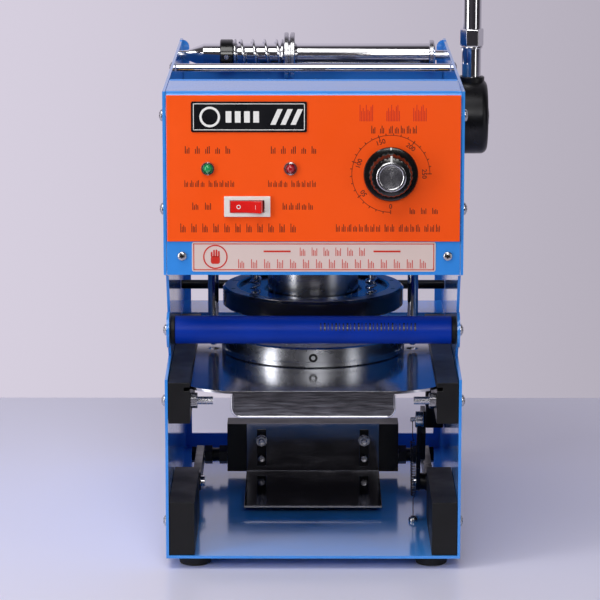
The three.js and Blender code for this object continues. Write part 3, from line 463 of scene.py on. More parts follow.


def dress_cad_nodes():
    """Puts a look on every CAD object's slots and eases its edges, leaving its mesh as it is."""
    slots = {row["node"]: row["material_slot"] for row in frame["record"]["subparts"]}
    for name, obj in frame["nodes"].items():
        look = NODE_LOOKS.get(name, SLOT_LOOKS[slots[name]])
        for slot in obj.material_slots:
            slot.link = "OBJECT"
            slot.material = look.material
        weld = obj.modifiers.new("weld", "WELD")
        weld.merge_threshold = SAME_POINT * MM
        soften(obj, CAD_EDGE)


dress_cad_nodes()


def cross_screw(name, x, y, z, axis, body, radius=3.2, height=1.9, look=steel_bolt):
    """A pan-head screw with a cross recess, its head rising along the axis from a face."""
    heads = {"F": (1, "F"), "left": (-1, "X"), "right": (1, "X"), "back": (1, "Y"), "up": (1, "Z")}
    sign, way = heads[axis]
    outline = [(0, -1), (radius - 0.2, -1), (radius, 0)]
    shoulder, crown = 0.35 * height, 0.65 * height
    outline += [(radius * u, shoulder + crown * v) for u, v in arc((0, 0), 1, range(0, 90, 10))]
    outline += [(0, height)]
    head = turned([(r, h * sign) for r, h in outline], way, (x, y, z), 40)
    long, thin, sunk, top = radius * 0.5, radius * 0.11, height * 0.5, height + 0.04
    low, high = sorted((sign * sunk, sign * top))
    if way == "X":
        marks = [slab(x + low, x + high, y - a, y + a, z - b, z + b) for a, b in ((long, thin), (thin, long))]
    elif way == "Z":
        marks = [slab(x - a, x + a, y - b, y + b, z + low, z + high) for a, b in ((long, thin), (thin, long))]
    else:
        near, far = (y - high, y - low) if way == "F" else (y + low, y + high)
        marks = [slab(x - a, x + a, near, far, z - b, z + b) for a, b in ((long, thin), (thin, long))]
    return piece(name, [(head, look)] + [(mark, black_metal) for mark in marks], body)


def thread(radius, axis, centre, low, high, pitch=1.0):
    outline = [(0, low)]
    count = int((high - low) / (pitch / 2))
    for i in range(count + 1):
        outline.append((radius - (0.45 if i % 2 else 0.0), low + (high - low) * i / count))
    outline.append((0, high))
    return turned(outline, axis, centre, 32)


def mirror_sides():
    return (("left", -1), ("right", 1))


PANEL_X0, PANEL_X1, PANEL_FRONT, PANEL_BACK, PANEL_Z0, PANEL_Z1 = span("control_panel")
INK = 0.12  # printing and foils stand this proud of the panel


# ------------------------------------------------------------------ panel print
def print_slab(x0, x1, z0, z1, y=None, lift=INK):
    face = PANEL_FRONT if y is None else y
    return slab(x0, x1, face - lift, face + 0.02, z0, z1)


TICK_HEIGHTS = (1.0, 0.62, 0.8, 0.62, 1.0, 0.7, 0.62, 0.9)
MARK_GAP, WORD_GAP = 0.3, 0.9  # in widths of one mark


def word_marks(x, z, width, height, words, y=None):
    """Rows of plain ticks in the rhythm of a line of print: no letters."""
    solids = []
    total = sum(words) + MARK_GAP * sum(w - 1 for w in words) + WORD_GAP * (len(words) - 1)
    unit = width / total
    ticks = max(2, round(min(unit, height) / 1.1))
    pitch = unit / ticks
    cursor, index = x - width / 2, 0
    for count in words:
        for _ in range(count):
            for tick in range(ticks):
                left, low = cursor + pitch * (tick + 0.25), z - height / 2
                tall = height * TICK_HEIGHTS[index % len(TICK_HEIGHTS)]
                solids.append(print_slab(left, left + 0.42 * pitch, low, low + tall, y))
                index += 1
            cursor += (1 + MARK_GAP) * unit
        cursor += (WORD_GAP - MARK_GAP) * unit
    return solids


LABEL_LINES = {
    "heat_label_top": (-73.7, 293.3, 32, 5.2, (1, 1, 1, 1, 1)),
    "temp_label_top": (-13.9, 293.3, 32, 5.2, (1, 1, 1, 1, 1)),
    "heat_label_low": (-72.6, 269.5, 35, 4.6, (4, 5)),
    "temp_label_low": (-15.0, 269.5, 33.5, 4.6, (4, 5)),
    "power_label_left": (-78.0, 253.6, 13.5, 5.0, (1, 1)),
    "power_label_right": (-11.0, 253.6, 21.5, 4.8, (5,)),
    "maker_line": (-52.7, 238.2, 81, 6.2, (1,) * 11),
    "address_line": (52.0, 238.2, 73, 5.2, (8, 2, 4, 3)),
    "subtitle_line": (55.9, 307.6, 32, 5.4, (1, 1, 5)),
    "thermostat_label": (76.9, 250.3, 20, 4.4, (1, 1, 1)),
}


def print_panel():
    for name, line in LABEL_LINES.items():
        piece(name, [(solid, ink_black) for solid in word_marks(*line)], "frame")
    title = word_marks(55.2, 319.2, 47, 11.5, (1, 1, 1))
    piece("title_marks", [(solid, ink_red) for solid in title], "frame")


def print_dial():
    cx, _, cz = middle("thermostat_knob")
    face = PANEL_FRONT
    scale_radius, number_radius, step = 27.0, 23.2, 54.0

    def spot(angle, radius):
        """Angle in degrees clockwise from straight down, as seen from the front."""
        turn = math.radians(angle)
        return cx - radius * math.sin(turn), cz - radius * math.cos(turn)

    def bar(angle, inner, outer, half):
        (x0, z0), (x1, z1) = spot(angle, inner), spot(angle, outer)
        side = Vector((z1 - z0, x0 - x1)).normalized() * half
        outline = [(x0 + side.x, z0 + side.y), (x1 + side.x, z1 + side.y),
                   (x1 - side.x, z1 - side.y), (x0 - side.x, z0 - side.y)]
        return prism(outline, "Y", face - INK, face + 0.02)

    arc_steps = 90
    outer = [spot(270 * i / arc_steps, scale_radius + 0.3) for i in range(arc_steps + 1)]
    inner = [spot(270 * i / arc_steps, scale_radius) for i in reversed(range(arc_steps + 1))]
    solids = []
    for i in range(arc_steps):
        quad = [outer[i], outer[i + 1], inner[arc_steps - i - 1], inner[arc_steps - i]]
        solids.append(prism(quad, "Y", face - INK, face + 0.02))
    for i in range(26):
        major = i % 5 == 0
        solids.append(bar(i * step / 5, scale_radius - (1.6 if major else 0), scale_radius + 1.5, 0.22))
    piece("dial_scale", [(solid, ink_black) for solid in solids], "frame")

    for index in range(6):
        text = bpy.data.curves.new(f"dial_number_{index}", "FONT")
        text.body = str(50 * index)
        text.size = 4.6 * MM
        text.align_x, text.align_y = "CENTER", "CENTER"
        text.extrude = INK / 2 * MM
        text.materials.append(ink_black.material)
        number = bpy.data.objects.new(f"dial_number_{index}", text)
        bpy.context.scene.collection.objects.link(number)
        x, z = spot(index * step, number_radius)
        number.location = at(x, face - INK / 2, z)
        lean = math.radians(180 - index * step)
        number.rotation_euler = (math.pi / 2, -lean if index else 0, 0)
        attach(number, "frame")


def make_badge_and_strip():
    face = PANEL_FRONT
    plate = prism(round_rectangle(-85.1, -4.6, 305.8, 327.2, 1.2), "Y", face - 0.7, face + 0.02)
    rim_y = face - 0.7
    marks = [print_slab(-83.6, -6.1, z, z + 0.5, rim_y, 0.1) for z in (307.2, 325.4)]
    marks += [print_slab(x, x + 0.5, 307.2, 325.9, rim_y, 0.1) for x in (-83.6, -6.6)]
    parts = [(plate, badge_black)] + [(mark, ink_white) for mark in marks]
    for i in range(3):
        start = -30 + 7 * i
        lean = [(start, 311), (start + 3.6, 311), (start + 8.6, 322), (start + 5, 322)]
        parts.append((prism(lean, "Y", rim_y - 0.1, rim_y + 0.02), ink_white))
    ring = turned(band(5.6, 7.2, 0, 0.1), "F", (-72, rim_y, 316.5), 48)
    parts.append((ring, ink_white))
    for i in range(4):
        parts.append((print_slab(-61 + 6.4 * i, -57 + 6.4 * i, 312.5, 320.5, rim_y, 0.1), ink_white))
    piece("name_badge", parts, "frame", edge=0.1)

    cover_front = span("front_cover")[2]
    x0, x1, z0, z1 = -85.1, 85.5, 207.0, 228.0
    foil = prism(round_rectangle(x0, x1, z0, z1, 1.5), "Y", cover_front - 0.35, cover_front - 0.05)
    face = cover_front - 0.35
    border = []
    for a0, a1, b0, b1 in ((x0 + 1, x1 - 1, z0 + 1, z0 + 1.6), (x0 + 1, x1 - 1, z1 - 1.6, z1 - 1),
                           (x0 + 1, x0 + 1.6, z0 + 1, z1 - 1), (x1 - 1.6, x1 - 1, z0 + 1, z1 - 1)):
        border.append(print_slab(a0, a1, b0, b1, face))
    border.append(print_slab(-34.9, -16, 220.8, 222, face))
    border.append(print_slab(42, 60.9, 220.8, 222, face))
    border += word_marks(13.2, 221.2, 46, 6, (1,) * 6, face)
    border += word_marks(13.0, 212.6, 132, 6.4, (1,) * 15, face)
    symbol_x, symbol_z = -68.7, 217.5
    border.append(turned(band(7.7, 8.6, 0, INK), "F", (symbol_x, face, symbol_z), 48))
    palm = round_rectangle(symbol_x - 3.2, symbol_x + 3.2, symbol_z - 5, symbol_z + 0.6, 1.6)
    border.append(prism(palm, "Y", face - INK, face + 0.02))
    for i, tall in enumerate((3.6, 5.0, 5.2, 4.2)):
        left = symbol_x - 3.2 + i * 1.7
        border.append(prism(round_rectangle(left, left + 1.2, symbol_z, symbol_z + tall, 0.55), "Y",
                            face - INK, face + 0.02))
    piece("notice_plate", [(foil, strip_silver)] + [(solid, ink_red) for solid in border], "frame")


# ------------------------------------------------------------------ panel hardware
def make_lamps():
    for node, lens, slot in (("heat_lamp", lens_green, "lens_green"), ("temp_lamp", lens_red, "lens_red")):
        x, _, z = middle(node)
        centre = (x, PANEL_FRONT, z)
        outline = [(3.0, -1), (4.0, -1), (4.0, 0), (5.1, 0), (5.1, 0.9), (4.5, 1.9), (3.6, 2.1), (3.0, 1.4)]
        bezel = turned(outline + outline[:1], "F", centre)
        piece(f"{node}_bezel", [(bezel, chrome)], "frame")
        dome = [(2.9 * u, 1.1 + 2.2 * v) for u, v in arc((0, 0), 1, range(0, 90, 9))]
        lens_solid = turned([(0, -13), (2.9, -13), *dome, (0, 3.3)], "F", centre, 48)
        piece(f"{node}_lens", [(lens_solid, lens)], "frame", [node])


def make_rocker_marks():
    """Off ring and on bar, moulded on the two halves of the rocker."""
    x, _, z = middle("switch_housing")
    y = span("switch_rocker")[2]
    pressed_face = PANEL_FRONT - 3.1
    ring = turned(band(1.0, 1.5, -0.1, 0.15), "F", (x - 6, pressed_face, z), 32)
    slope = math.tan(math.radians(20))
    near = pressed_face - 6 * slope
    bar = prism([(x + 5.7, z - 1.5), (x + 6.3, z - 1.5), (x + 6.3, z + 1.5), (x + 5.7, z + 1.5)], "Y",
                max(near - 0.12, y), near + 0.15)
    piece("rocker_marks", [(ring, ink_white), (bar, ink_white)], "rocker")


def make_knob():
    cx, _, cz = middle("thermostat_knob")
    x0, x1, y0 = span("thermostat_knob")[:3]
    radius = (x1 - x0) / 2
    front = PANEL_FRONT - y0
    centre = (cx, PANEL_FRONT, cz)
    skirt = [(0, 0.8), (radius - 0.4, 0.8), (radius, 1.2), (radius, 2.6)]
    skirt += [(radius - 0.6, 3.3), (radius - 3, 3.9)]
    base = turned(skirt + [(0, 3.9)], "F", centre)
    flutes, depth_steps = 24, ((3.9, 0.0), (front - 1.6, -1.4), (front - 0.5, -2.0), (front, -3.0))
    corners, faces, sides = [], [], flutes * 8
    for height, shrink in depth_steps:
        for i in range(sides):
            angle = 2 * math.pi * i / sides
            wave = 0.5 * (1 - abs(math.sin(flutes * angle / 2))) ** 0.7
            r = radius - 3.2 + shrink - wave
            corners.append(at(cx + r * math.cos(angle), PANEL_FRONT - height, cz + r * math.sin(angle)))
    for level in range(len(depth_steps) - 1):
        for i in range(sides):
            j = (i + 1) % sides
            low, high = level * sides, (level + 1) * sides
            faces.append((low + i, low + j, high + j, high + i))
    faces += [tuple(range(sides)), tuple(range((len(depth_steps) - 1) * sides, len(depth_steps) * sides))]
    shaft = rod(3, "F", centre, -18, 1)
    piece("knob_grip", [(base, black_gloss), ((corners, faces), black_gloss), (shaft, steel_bolt)], "knob",
          ["thermostat_knob"])
    steps = [(0, -0.2), (10.4, -0.2), (10.4, 0.7), (9.8, 1.2), (8.6, 1.2), (8.2, 0.9), (0, 0.9)]
    cap = turned([(reach, front + rise) for reach, rise in steps], "F", centre)
    piece("knob_cap", [(cap, spun_cap)], "knob")
    face, rim = PANEL_FRONT - front, cz + radius
    pointer = slab(cx - 0.7, cx + 0.7, face - 0.25, face + 0.4, cz + 10.6, cz + 14.8)
    skirt_mark = slab(cx - 0.6, cx + 0.6, PANEL_FRONT - 3.6, PANEL_FRONT - 2.2, rim - 3.4, rim - 0.2)
    piece("knob_pointer", [(pointer, ink_white), (skirt_mark, ink_white)], "knob")


# ------------------------------------------------------------------ casing fittings
OUTSIDE = CHASSIS_HIGH.x / MM - ORIGIN.x / MM


def make_fixings():
    cover_front = span("front_cover")[2]
    for name, x in (("cover_screw_left", -92), ("cover_screw_right", 94)):
        cross_screw(name, x, cover_front, 218, "F", "frame")
    rod_y, rod_z = middle("film_guide_rod")[1:]
    bar_y, bar_z = middle("film_guide_bar")[1:]
    beam_y, beam_z = middle("guide_beam")[1:]
    places = {
        "cover_top": (10, 316), "cover_low": (10, 250), "roller": middle("roller_axle")[1:],
        "rail_front": (9, 112), "rail_back": (200, 112), "guide_rod": (rod_y, rod_z),
        "guide_bar": (bar_y, bar_z), "beam_front": (beam_y - 9, beam_z), "beam_back": (beam_y + 9, beam_z),
        "base_front": (22, 20), "base_back": (80, 20), "lifter_pivot": middle("lifter_pivot_left")[1:],
        "shelf": (268, 124),
    }
    for label, (y, z) in places.items():
        for side, sign in mirror_sides():
            cross_screw(f"side_screw_{label}_{side}", sign * OUTSIDE, y, z, side, "frame", 4.2, 2.6)
    back = span("rear_cover")[3]
    low, high = span("rear_cover")[4:]
    for column, x in (("left", -88), ("middle", 0), ("right", 88)):
        for row, z in (("low", low + 8), ("high", high - 8)):
            cross_screw(f"rear_screw_{column}_{row}", x, back, z, "back", "frame")
    for side, sign in mirror_sides():
        inner = span(f"upper_rail_{side}")[1 if sign < 0 else 0]
        nut_face = inner - sign * 0.1
        ends = sorted((nut_face, nut_face - sign * 5.0))
        nut = prism(hexagon(10, (9, 112)), "X", *ends)
        stub_ends = sorted((inner, inner - sign * 16))
        stub = thread(3, "X", (0, 9, 112), *stub_ends)
        piece(f"rail_nut_{side}", [(nut, steel_bolt), (stub, steel_bolt)], "frame", edge=0.25)


def make_cover_bead():
    x0, x1, _, y1, _, z1 = span("front_cover")
    bead = rod(1.9, "X", (0, y1 - 0.8, z1 - 1.4), x0 + 0.3, x1 - 0.3)
    piece("cover_bead", [(bead, blue_paint)], "frame")


def make_feet():
    for end in ("front", "back"):
        for side, _ in mirror_sides():
            node = f"foot_{end}_{side}"
            x, y, _ = middle(node)
            x0, x1, _, _, z0, z1 = span(node)
            r, tall = (x1 - x0) / 2, z1 - z0
            outline = [(0, 1.2), (4, 1.2), (4, 0), (r - 2.4, 0), (r - 1.8, 0.5)]
            outline += [(r - 0.4, tall - 1), (r, tall - 0.5), (r, tall), (0, tall)]
            foot = turned(outline, "Z", (x, y, z0))
            piece(f"{node}_rubber", [(foot, rubber)], "frame", [node], 0.2)


# ------------------------------------------------------------------ head
def make_cup_ring():
    x, y, _ = middle("cup_ring")
    x0, x1, _, _, z0, z1 = span("cup_ring")
    outer, height, rim = (x1 - x0) / 2, z1 - z0, 47.5
    outline = [(rim - 3, 0), (outer - 0.6, 0), (outer, 0.6), (outer, height - 1.2), (outer - 1.2, height),
               (rim + 5, height), (rim + 5, height - 4), (rim + 1, height - 4), (rim + 1, height - 0.8),
               (rim, height - 0.8), (rim - 2.2, height - 1.6), (rim - 3, height - 2.6), (rim - 3, 0)]
    ring = turned(outline, "Z", (x, y, z0), 160)
    step = turned([(outer - 0.05, 3.2), (outer + 0.25, 3.4), (outer + 0.25, 4.0), (outer - 0.05, 4.2),
                   (outer - 0.05, 3.2)], "Z", (x, y, z0), 160)
    hole = tube(1.5, 3.2, "F", (x, y - outer, z0 + height / 2), -1, 0.12, 0.1, 40)
    plug = rod(2.9, "F", (x, y - outer, z0 + height / 2), -2, -0.2)
    piece("cup_ring_turned", [(ring, turned_aluminium), (step, turned_aluminium), (hole, black_metal),
                              (plug, black_metal)], "drawer", ["cup_ring"])


def make_press_ring():
    x, y, _ = middle("press_ring")
    x0, x1, _, _, z0, z1 = span("press_ring")
    outer, height = (x1 - x0) / 2, z1 - z0
    cavity, bore, flange, recess = 55, 36, 5, 2.5
    outline = [(cavity, 0.5), (cavity + 0.5, 0), (outer - 1.2, 0), (outer, 1.2), (outer, height - 1.6),
               (outer - 1.6, height), (cavity + 0.6, height), (cavity, height - 0.6),
               (cavity, height - recess), (bore + 0.5, height - recess),
               (bore, height - recess - 0.5), (bore, height - flange), (cavity, height - flange),
               (cavity, 0.5)]
    ring = turned(outline, "Z", (x, y, z0), 160)
    land = turned(band(57, outer - 2.2, height - 0.3, height + 0.12), "Z", (x, y, z0), 160)
    parts = [(ring, ring_black), (land, ground_steel)]
    for i in range(12):
        angle = math.radians(15 + 30 * i)
        spot = (x + 61 * math.cos(angle), y + 61 * math.sin(angle), z0)
        parts.append((rod(1.7, "Z", spot, height - 0.5, height + 0.2, 0.05, 24), black_metal))
    piece("press_ring_machined", parts, "press", ["press_ring"])


def make_head():
    x, y, _ = middle("heater_carrier")
    z0, z1 = span("heater_carrier")[4:]
    column, disc = 33.6, 52.5
    outline = [(0, z0), (disc - 0.5, z0), (disc, z0 + 0.5), (disc, z0 + 3.8), (disc - 0.5, z0 + 4.3),
               (column, z0 + 4.3), (column, z1), (0, z1)]
    piece("heater_column", [(turned(outline, "Z", (x, y, 0), 128), turned_aluminium)], "head",
          ["heater_carrier"])

    cz0, cz1 = span("cutter_ring")[4:]
    inner, outer, teeth = 49.6, 51.0, 96
    corners, faces, sides = [], [], teeth * 4
    for radius in (inner, outer):
        for top in (False, True):
            for i in range(sides):
                angle = 2 * math.pi * i / sides
                bite = abs((i % 4) - 2) * 0.55
                corners.append(at(x + radius * math.cos(angle), y + radius * math.sin(angle),
                                  cz1 if top else cz0 + bite))
    for a, b in ((0, 1), (3, 2), (2, 0), (1, 3)):
        for i in range(sides):
            j = (i + 1) % sides
            faces.append((a * sides + i, a * sides + j, b * sides + j, b * sides + i))
    piece("cutter_toothed", [((corners, faces), stainless)], "head", ["cutter_ring"])

    for end in ("front", "back"):
        for side, _ in mirror_sides():
            node = f"head_spring_{end}_{side}"
            sx, sy, _ = middle(node)
            low, high = span(node)[4:]
            foot = low - 2.5 + 0.7
            wire = swept(helix("Z", (sx, sy, 0), 3.4, foot, high - 0.7, 8.5), 0.62)
            spring = piece(f"{node}_wire", [(wire, chrome)], "head", [node])
            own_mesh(spring)
            guide = rod(2.2, "Z", (sx, sy, 0), span("press_ring")[5] + 7, high)
            piece(f"spring_guide_{end}_{side}", [(guide, steel_bolt)], "head")
    for side, _ in mirror_sides():
        node = f"locating_pin_{side}"
        px, py, _ = middle(node)
        low, high = span(node)[4:]
        outline = [(0, low), (2, low), (3.6, low + 2.2), (4, low + 3.2), (4, high), (0, high)]
        pin = turned(outline, "Z", (px, py, 0), 64)
        nut = prism(hexagon(13, (px, py)), "Z", high - 5.6, high)
        piece(f"{node}_turned", [(pin, chrome), (nut, steel_bolt)], "head", [node], 0.2)


# ------------------------------------------------------------------ handle
def make_handle():
    x0, x1 = span("handle_hub")[:2]
    _, y, z = middle("drive_shaft")
    r = 27.5
    outline = [(0, x0), (r - 1, x0), (r, x0 + 1), (r, x1 - 5)]
    outline += arc((r - 5, x1 - 5), 5, range(15, 91, 15))
    outline += [(13, x1), (12.4, x1 - 0.6), (0, x1 - 0.6)]
    hub = turned(outline, "X", (0, y, z), 128)
    socket = prism(hexagon(6, (y, z)), "X", x1 - 0.7, x1 + 0.15)
    bolt_steps = [(0, -0.8), (6.5, -0.8), (6.5, 0.9), (6.0, 1.4), (0, 1.4)]
    bolt = turned([(reach, x1 + rise) for reach, rise in bolt_steps], "X", (0, y, z), 64)
    hub_top = span("handle_hub")[5]
    rod_x = middle("handle_rod")[0]
    boss = tube(7.3, 9.6, "Z", (rod_x, y, 0), hub_top - 3, hub_top + 2.5, 0.6)
    parts = [(hub, black_metal), (bolt, steel_bolt), (socket, black_metal), (boss, black_metal)]
    piece("handle_hub_turned", parts, "handle", ["handle_hub"])
    low, high = span("handle_rod")[4:]
    shaft = rod(7, "Z", (rod_x, y, 0), low, high, 0.8, 96)
    piece("handle_rod_chrome", [(shaft, chrome)], "handle", ["handle_rod"])
    c0, c1 = span("handle_coupling")[4:]
    sleeve = turned([(7.2, c0), (8.2, c0), (8.7, c0 + 0.6), (8.7, c1 - 0.6), (8.2, c1), (7.2, c1), (7.2, c0)],
                    "Z", (rod_x, y, 0), 6)
    collar = turned(band(7.1, 7.9, c0 - 1.6, c0), "Z", (rod_x, y, 0), 64)
    piece("handle_coupling_flats", [(sleeve, chrome), (collar, chrome)], "handle",
          ["handle_coupling"], 0.4)
    k0, k1 = span("handle_knob")[4:]
    length, wide = k1 - k0, 17
    profile = [(7.3, k0 + 0.01), (9.6, k0), (10.4, k0 + 0.6)]
    for i in range(1, 25):
        t = i / 24
        swell = 0.62 + 0.38 * math.sin(math.pi * min(t, 0.94))
        rounding = math.sqrt(max(0, 1 - max(0, t - 0.7) ** 2 / 0.09))
        profile.append((wide * swell * rounding, k0 + 0.6 + (length - 0.6) * t))
    profile[-1] = (0, k1)
    grip = turned([(0, k0 + 12), (7.3, k0 + 12), *profile], "Z", (rod_x, y, 0), 96)
    piece("handle_grip", [(grip, black_gloss)], "handle", ["handle_knob"])


# ------------------------------------------------------------------ film path
def make_rollers():
    x0, x1 = span("takeup_roller")[:2]
    _, y, z = middle("takeup_roller")
    radius, cap = 10, 3.4
    sleeve = tube(8, radius, "X", (0, y, z), x0 + cap, x1 - cap, 0.4, 96)
    ends = []
    for low, high in ((x0, x0 + cap), (x1 - cap, x1)):
        outline = [(4.3, low), (9.4, low), (10.2, low + 0.7), (10.2, high - 0.5), (9.7, high), (4.3, high)]
        ends.append((turned(outline + outline[:1], "X", (0, y, z), 96), black_plastic))
    marks = []
    dashes = 26
    for i in range(dashes):
        start = 5 + 70 * i / dashes
        wide = (0.7, 1.1, 0.5)[i % 3]
        corners, faces = [], []
        for lift in (-0.02, 0.05):
            for k in range(7):
                angle = math.radians(172 - 5.5 * k)
                reach = radius + lift
                for x in (start, start + wide):
                    corners.append(at(x, y + reach * math.cos(angle), z + reach * math.sin(angle)))
        for k in range(6):
            a = 2 * k
            faces += [(a, a + 1, a + 3, a + 2), (a + 14, a + 15, a + 17, a + 16),
                      (a, a + 2, a + 16, a + 14), (a + 1, a + 3, a + 17, a + 15)]
        faces += [(0, 1, 15, 14), (12, 13, 27, 26)]
        marks.append(((corners, faces), badge_black))
    parts = [(sleeve, roller_blue), *ends, *marks]
    piece("takeup_roller_sleeve", parts, "takeup", ["takeup_roller"])

    rx0, rx1, ry0, ry1 = span("roll_shaft")[:4]
    _, ry, rz = middle("roll_shaft")
    big = (ry1 - ry0) / 2
    taper, shoulder = rx0 + 7, rx0 + 19.5
    journal = 4
    left_end = [(0, rx0), (3.6, rx0), (journal, rx0 + 0.4), (journal, taper), (big - 0.3, shoulder),
                (big, shoulder + 0.6)]
    right_end = [(big, rx1 - 10.4), (big - 0.4, rx1 - 10), (journal, rx1 - 10), (journal, rx1 - 0.4),
                 (3.6, rx1), (0, rx1)]
    shaft = turned(left_end + right_end, "X", (0, ry, rz), 96)
    piece("roll_shaft_chrome", [(shaft, chrome)], "roll", ["roll_shaft"])
    for side, outer, look, slot in (("left", 12.5, black_gloss, "black_plastic"),
                                    ("right", 12.0, turned_nickel, "aluminium")):
        node = f"roll_collar_{side}"
        cx0, cx1 = span(node)[:2]
        collar = tube(big + 0.1, outer, "X", (0, ry, rz), cx0, cx1, 0.7)
        screw = rod(1.8, "F", ((cx0 + cx1) / 2, ry - outer, rz), -1.5, 0.12, 0.1, 32)
        piece(f"{node}_turned", [(collar, look), (screw, steel_bolt)], "roll", [node])
    sx0, sx1 = span("roll_spring")[:2]
    wire = swept(helix("X", (0, ry, rz), big + 2.4, sx0 + 1.2, sx1 - 1.2, 5.5), 1.15, 12)
    piece("roll_spring_wire", [(wire, chrome)], "roll", ["roll_spring"])
    fx0, fx1 = span("roll_flange")[:2]
    rim = 18
    width, groove = fx1 - fx0, 14.5
    shares = [(rim, 0.36), (rim - 0.6, 0.42), (groove, 0.44), (groove, 0.56), (rim - 0.6, 0.58), (rim, 0.64)]
    outline = [(big + 0.1, fx0), (rim - 0.6, fx0), (rim, fx0 + 0.6)]
    outline += [(reach, fx0 + share * width) for reach, share in shares]
    outline += [(rim, fx1 - 0.6), (rim - 0.6, fx1), (big + 0.1, fx1), (big + 0.1, fx0)]
    flange = turned(outline, "X", (0, ry, rz), 128)
    piece("roll_flange_turned", [(flange, turned_nickel)], "roll_flange_body", ["roll_flange"])

    guides = (("film_guide_rod", chrome, "chrome"), ("film_guide_bar", black_metal, "black_metal"))
    for node, look, slot in guides:
        gx0, gx1, gy0, gy1 = span(node)[:4]
        _, gy, gz = middle(node)
        bar = rod((gy1 - gy0) / 2, "X", (0, gy, gz), gx0, gx1)
        piece(f"{node}_round", [(bar, look)], "frame", [node])


# ------------------------------------------------------------------ cup lifter
def make_lifter():
    z0 = span("lifter_plate")[4]
    face = span("lifter_block")[2] - 1.8
    for side, sign in mirror_sides():
        x = sign * 40
        for row, z in (("low", z0 + 11), ("high", z0 + 26)):
            if row == "low":
                solids = [rod(2.6, "F", (x, face, z), -3, 0.6, 0.3, 40)]
            else:
                washer = tube(2.6, 4.6, "F", (x, face, z), 0, 0.9, 0.2, 40)
                shank = thread(2.4, "F", (x, face, z), -3, 6.5)
                solids = [washer, shank, prism(hexagon(7, (x, z)), "Y", face - 4.4, face - 0.9)]
            parts = [(solid, steel_bolt) for solid in solids]
            piece(f"platform_bolt_{row}_{side}", parts, "lifter_platform", edge=0.15)
    sx0, sx1 = span("lifter_shaft")[:2]
    _, sy, sz = middle("lifter_shaft")
    block_x = span("lifter_block")[1]
    arm_out, arm_in = span("lifter_arm_left")[:2]
    parts = [(rod(4.25, "X", (0, sy, sz), sx0, sx1, 0.5), steel_bolt)]
    for sign in (-1, 1):
        nuts = ((block_x + 0.4, block_x + 6.4), (-arm_in - 6.4, -arm_in - 0.4), (-arm_out + 0.4, sx1 - 0.2))
        for low, high in nuts:
            ends = sorted((sign * low, sign * high))
            parts.append((prism(hexagon(13 if high - low > 4 else 11, (sy, sz)), "X", *ends), black_metal))
        ends = sorted((sign * (block_x + 6.4), sign * (-arm_in - 6.4)))
        parts.append((tube(4.3, 5.2, "X", (0, sy, sz), *ends, 0.2), black_plastic))
    piece("lifter_shaft_nuts", parts, "lifter_platform", ["lifter_shaft"], 0.25)

    lx0 = span("lifter_arm_right")[0]
    lx1 = lx0 + 3
    _, py, pz = middle("lifter_pivot_right")
    eye_y, eye_z = py - 25, pz + 54.4
    cheek = [(py - 12, pz + 20), (py + 8, pz + 14), (py + 16, pz + 30), (py + 4, pz + 58),
             (eye_y + 8, eye_z + 4), (eye_y + 4, eye_z - 12)]
    bracket = prism(cheek, "X", lx1 + 0.1, lx1 + 3.6)
    boss = rod(6.2, "X", (0, eye_y, eye_z), lx0 - 1.6, lx0 + 4.6, 0.5)
    piece("lifter_lever_cheek", [(bracket, black_metal), (boss, steel_bolt)], "lifter_arms", edge=0.5)

    anchor = (lx0 - 3.6, 92, 3.2)
    eye = (lx0 - 3.6, eye_y, eye_z)
    start, end = Vector(anchor), Vector(eye)
    along = (end - start).normalized()
    side = along.orthogonal().normalized()
    other = along.cross(side)
    turns, steps, radius, hook = 34, 12, 1.7, 0.22
    points = [tuple(start + (end - start) * hook * i / 6) for i in range(6)]
    for i in range(turns * steps + 1):
        share = hook + (1 - 2 * hook) * i / (turns * steps)
        angle = 2 * math.pi * i / steps
        out = (side * math.cos(angle) + other * math.sin(angle)) * radius
        points.append(tuple(start + (end - start) * share + out))
    points += [tuple(start + (end - start) * (1 - hook + hook * i / 6)) for i in range(1, 7)]
    spring = piece("lifter_pull_spring", [(swept(points, 0.33, 8), black_metal)], None)
    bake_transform(spring)
    cross_screw("spring_anchor_screw", anchor[0], anchor[1], 0, "up", "frame", 3.4, 4.2)
    pin = rod(1.6, "X", (0, eye_y, eye_z), anchor[0] - 1.6, lx0, 0.3, 24)
    piece("spring_eye_pin", [(pin, steel_bolt)], "lifter_arms")


def make_lip_edge():
    """The polished edge of the drawer's bent lip."""
    _, _, front, _, low, high = span("drawer_plate")
    half, corner, y = 57, 6, front + 1
    points = [(-half, y, high - 3), (-half, y, low + corner + 1)]
    turn = arc((-half + corner, low + corner + 0.6), corner, range(180, 271, 10))
    points += [(x, y, z) for x, z in turn]
    points += [(-x, y, z) for x, y, z in reversed(points)]
    piece("drawer_lip_edge", [(swept(points, 1.15, 12), chrome)], "drawer")


def make_stop_block():
    """A black block on the right side plate, behind the lever."""
    inner = span("upper_rail_right")[1]
    block = slab(inner - 14, inner - 0.1, 234, 248, 36, 75)
    piece("lifter_stop_block", [(block, black_plastic)], "frame", edge=0.8)


print_panel()
print_dial()
make_badge_and_strip()
make_lamps()
make_rocker_marks()
make_knob()
make_fixings()
make_cover_bead()
make_feet()
make_cup_ring()
make_press_ring()
make_head()
make_handle()
make_rollers()
make_lifter()
make_lip_edge()
make_stop_block()


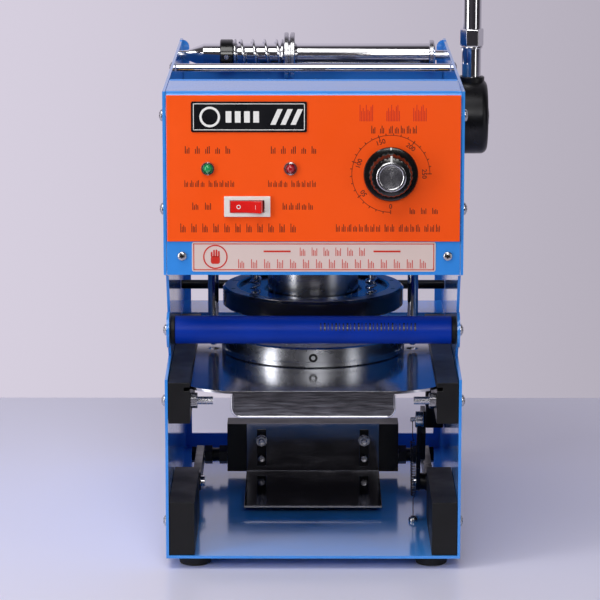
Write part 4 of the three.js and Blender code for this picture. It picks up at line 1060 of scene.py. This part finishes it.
# ------------------------------------------------------------------ studio
def make_stage():
    """A pale table under the machine, ending a little behind it."""
    low_z = (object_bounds()[0].z - ORIGIN.z) / MM
    near, far, half, thick = -420, 531, 3000, 20
    outline = [(-half, near), (half, near), (half, far), (-half, far)]
    corners, faces = prism(outline, "Z", low_z - thick, low_z)
    mesh = bpy.data.meshes.new("table")
    mesh.from_pydata(corners, [], faces)
    look = Look("table_card", linear(226, 226, 246), 0.3)
    look.vary_rough(3, 0.03).grain(200, 0.02)
    mesh.materials.append(look.material)
    mark_edges(mesh)
    table = bpy.data.objects.new("table", mesh)
    bpy.context.scene.collection.objects.link(table)


def area_light(name, place, aim, size, power, colour=(1, 1, 1)):
    data = bpy.data.lights.new(name, "AREA")
    data.shape = "RECTANGLE"
    data.size, data.size_y = size
    data.energy = power
    data.color = colour
    light = bpy.data.objects.new(name, data)
    light.location = at(*place)
    light.rotation_euler = (at(*aim) - light.location).to_track_quat("-Z", "Y").to_euler()
    bpy.context.scene.collection.objects.link(light)


BACKDROP = linear(212, 205, 220)
BEHIND_CAMERA = 0.08  # the studio in front of the machine is almost dark


def make_lights():
    """Soft boxes round a dark studio: front-facing metal reflects mostly darkness."""
    world = bpy.data.worlds.new("studio")
    world.use_nodes = True
    tree = world.node_tree
    coordinates = tree.nodes.new("ShaderNodeTexCoord")
    split = tree.nodes.new("ShaderNodeSeparateXYZ")
    tree.links.new(coordinates.outputs["Generated"], split.inputs[0])

    def ranged(axis, low, high, first, last):
        node = tree.nodes.new("ShaderNodeMapRange")
        node.interpolation_type = "SMOOTHSTEP"
        for socket, value in zip(("From Min", "From Max", "To Min", "To Max"), (low, high, first, last)):
            node.inputs[socket].default_value = value
        tree.links.new(split.outputs[axis], node.inputs["Value"])
        return node.outputs["Result"]

    behind = ranged("Y", 0.0, 0.6, BEHIND_CAMERA, 1.0)
    across = ranged("X", -0.14, 0.16, 1.04, 0.66)
    product = tree.nodes.new("ShaderNodeMath")
    product.operation = "MULTIPLY"
    tree.links.new(behind, product.inputs[0])
    tree.links.new(across, product.inputs[1])
    background = tree.nodes["Background"]
    background.inputs["Color"].default_value = BACKDROP
    tree.links.new(product.outputs[0], background.inputs["Strength"])
    bpy.context.scene.world = world
    centre = (0, 120, 180)
    area_light("overhead", (-350, -550, 1500), centre, (1.3, 0.8), 13.5, (1.0, 0.985, 0.97))
    area_light("left_box", (-1250, -750, 430), centre, (0.45, 1.2), 10, (1.0, 0.99, 0.98))
    area_light("right_box", (1250, -900, 430), centre, (0.3, 1.2), 2.5, (1.0, 0.99, 0.98))
    area_light("panel_fill", (200, -2300, 1300), (0, 0, 260), (0.9, 0.6), 14, (1.0, 0.98, 0.96))
    bpy.context.scene.view_settings.view_transform = "Standard"


make_stage()
make_lights()
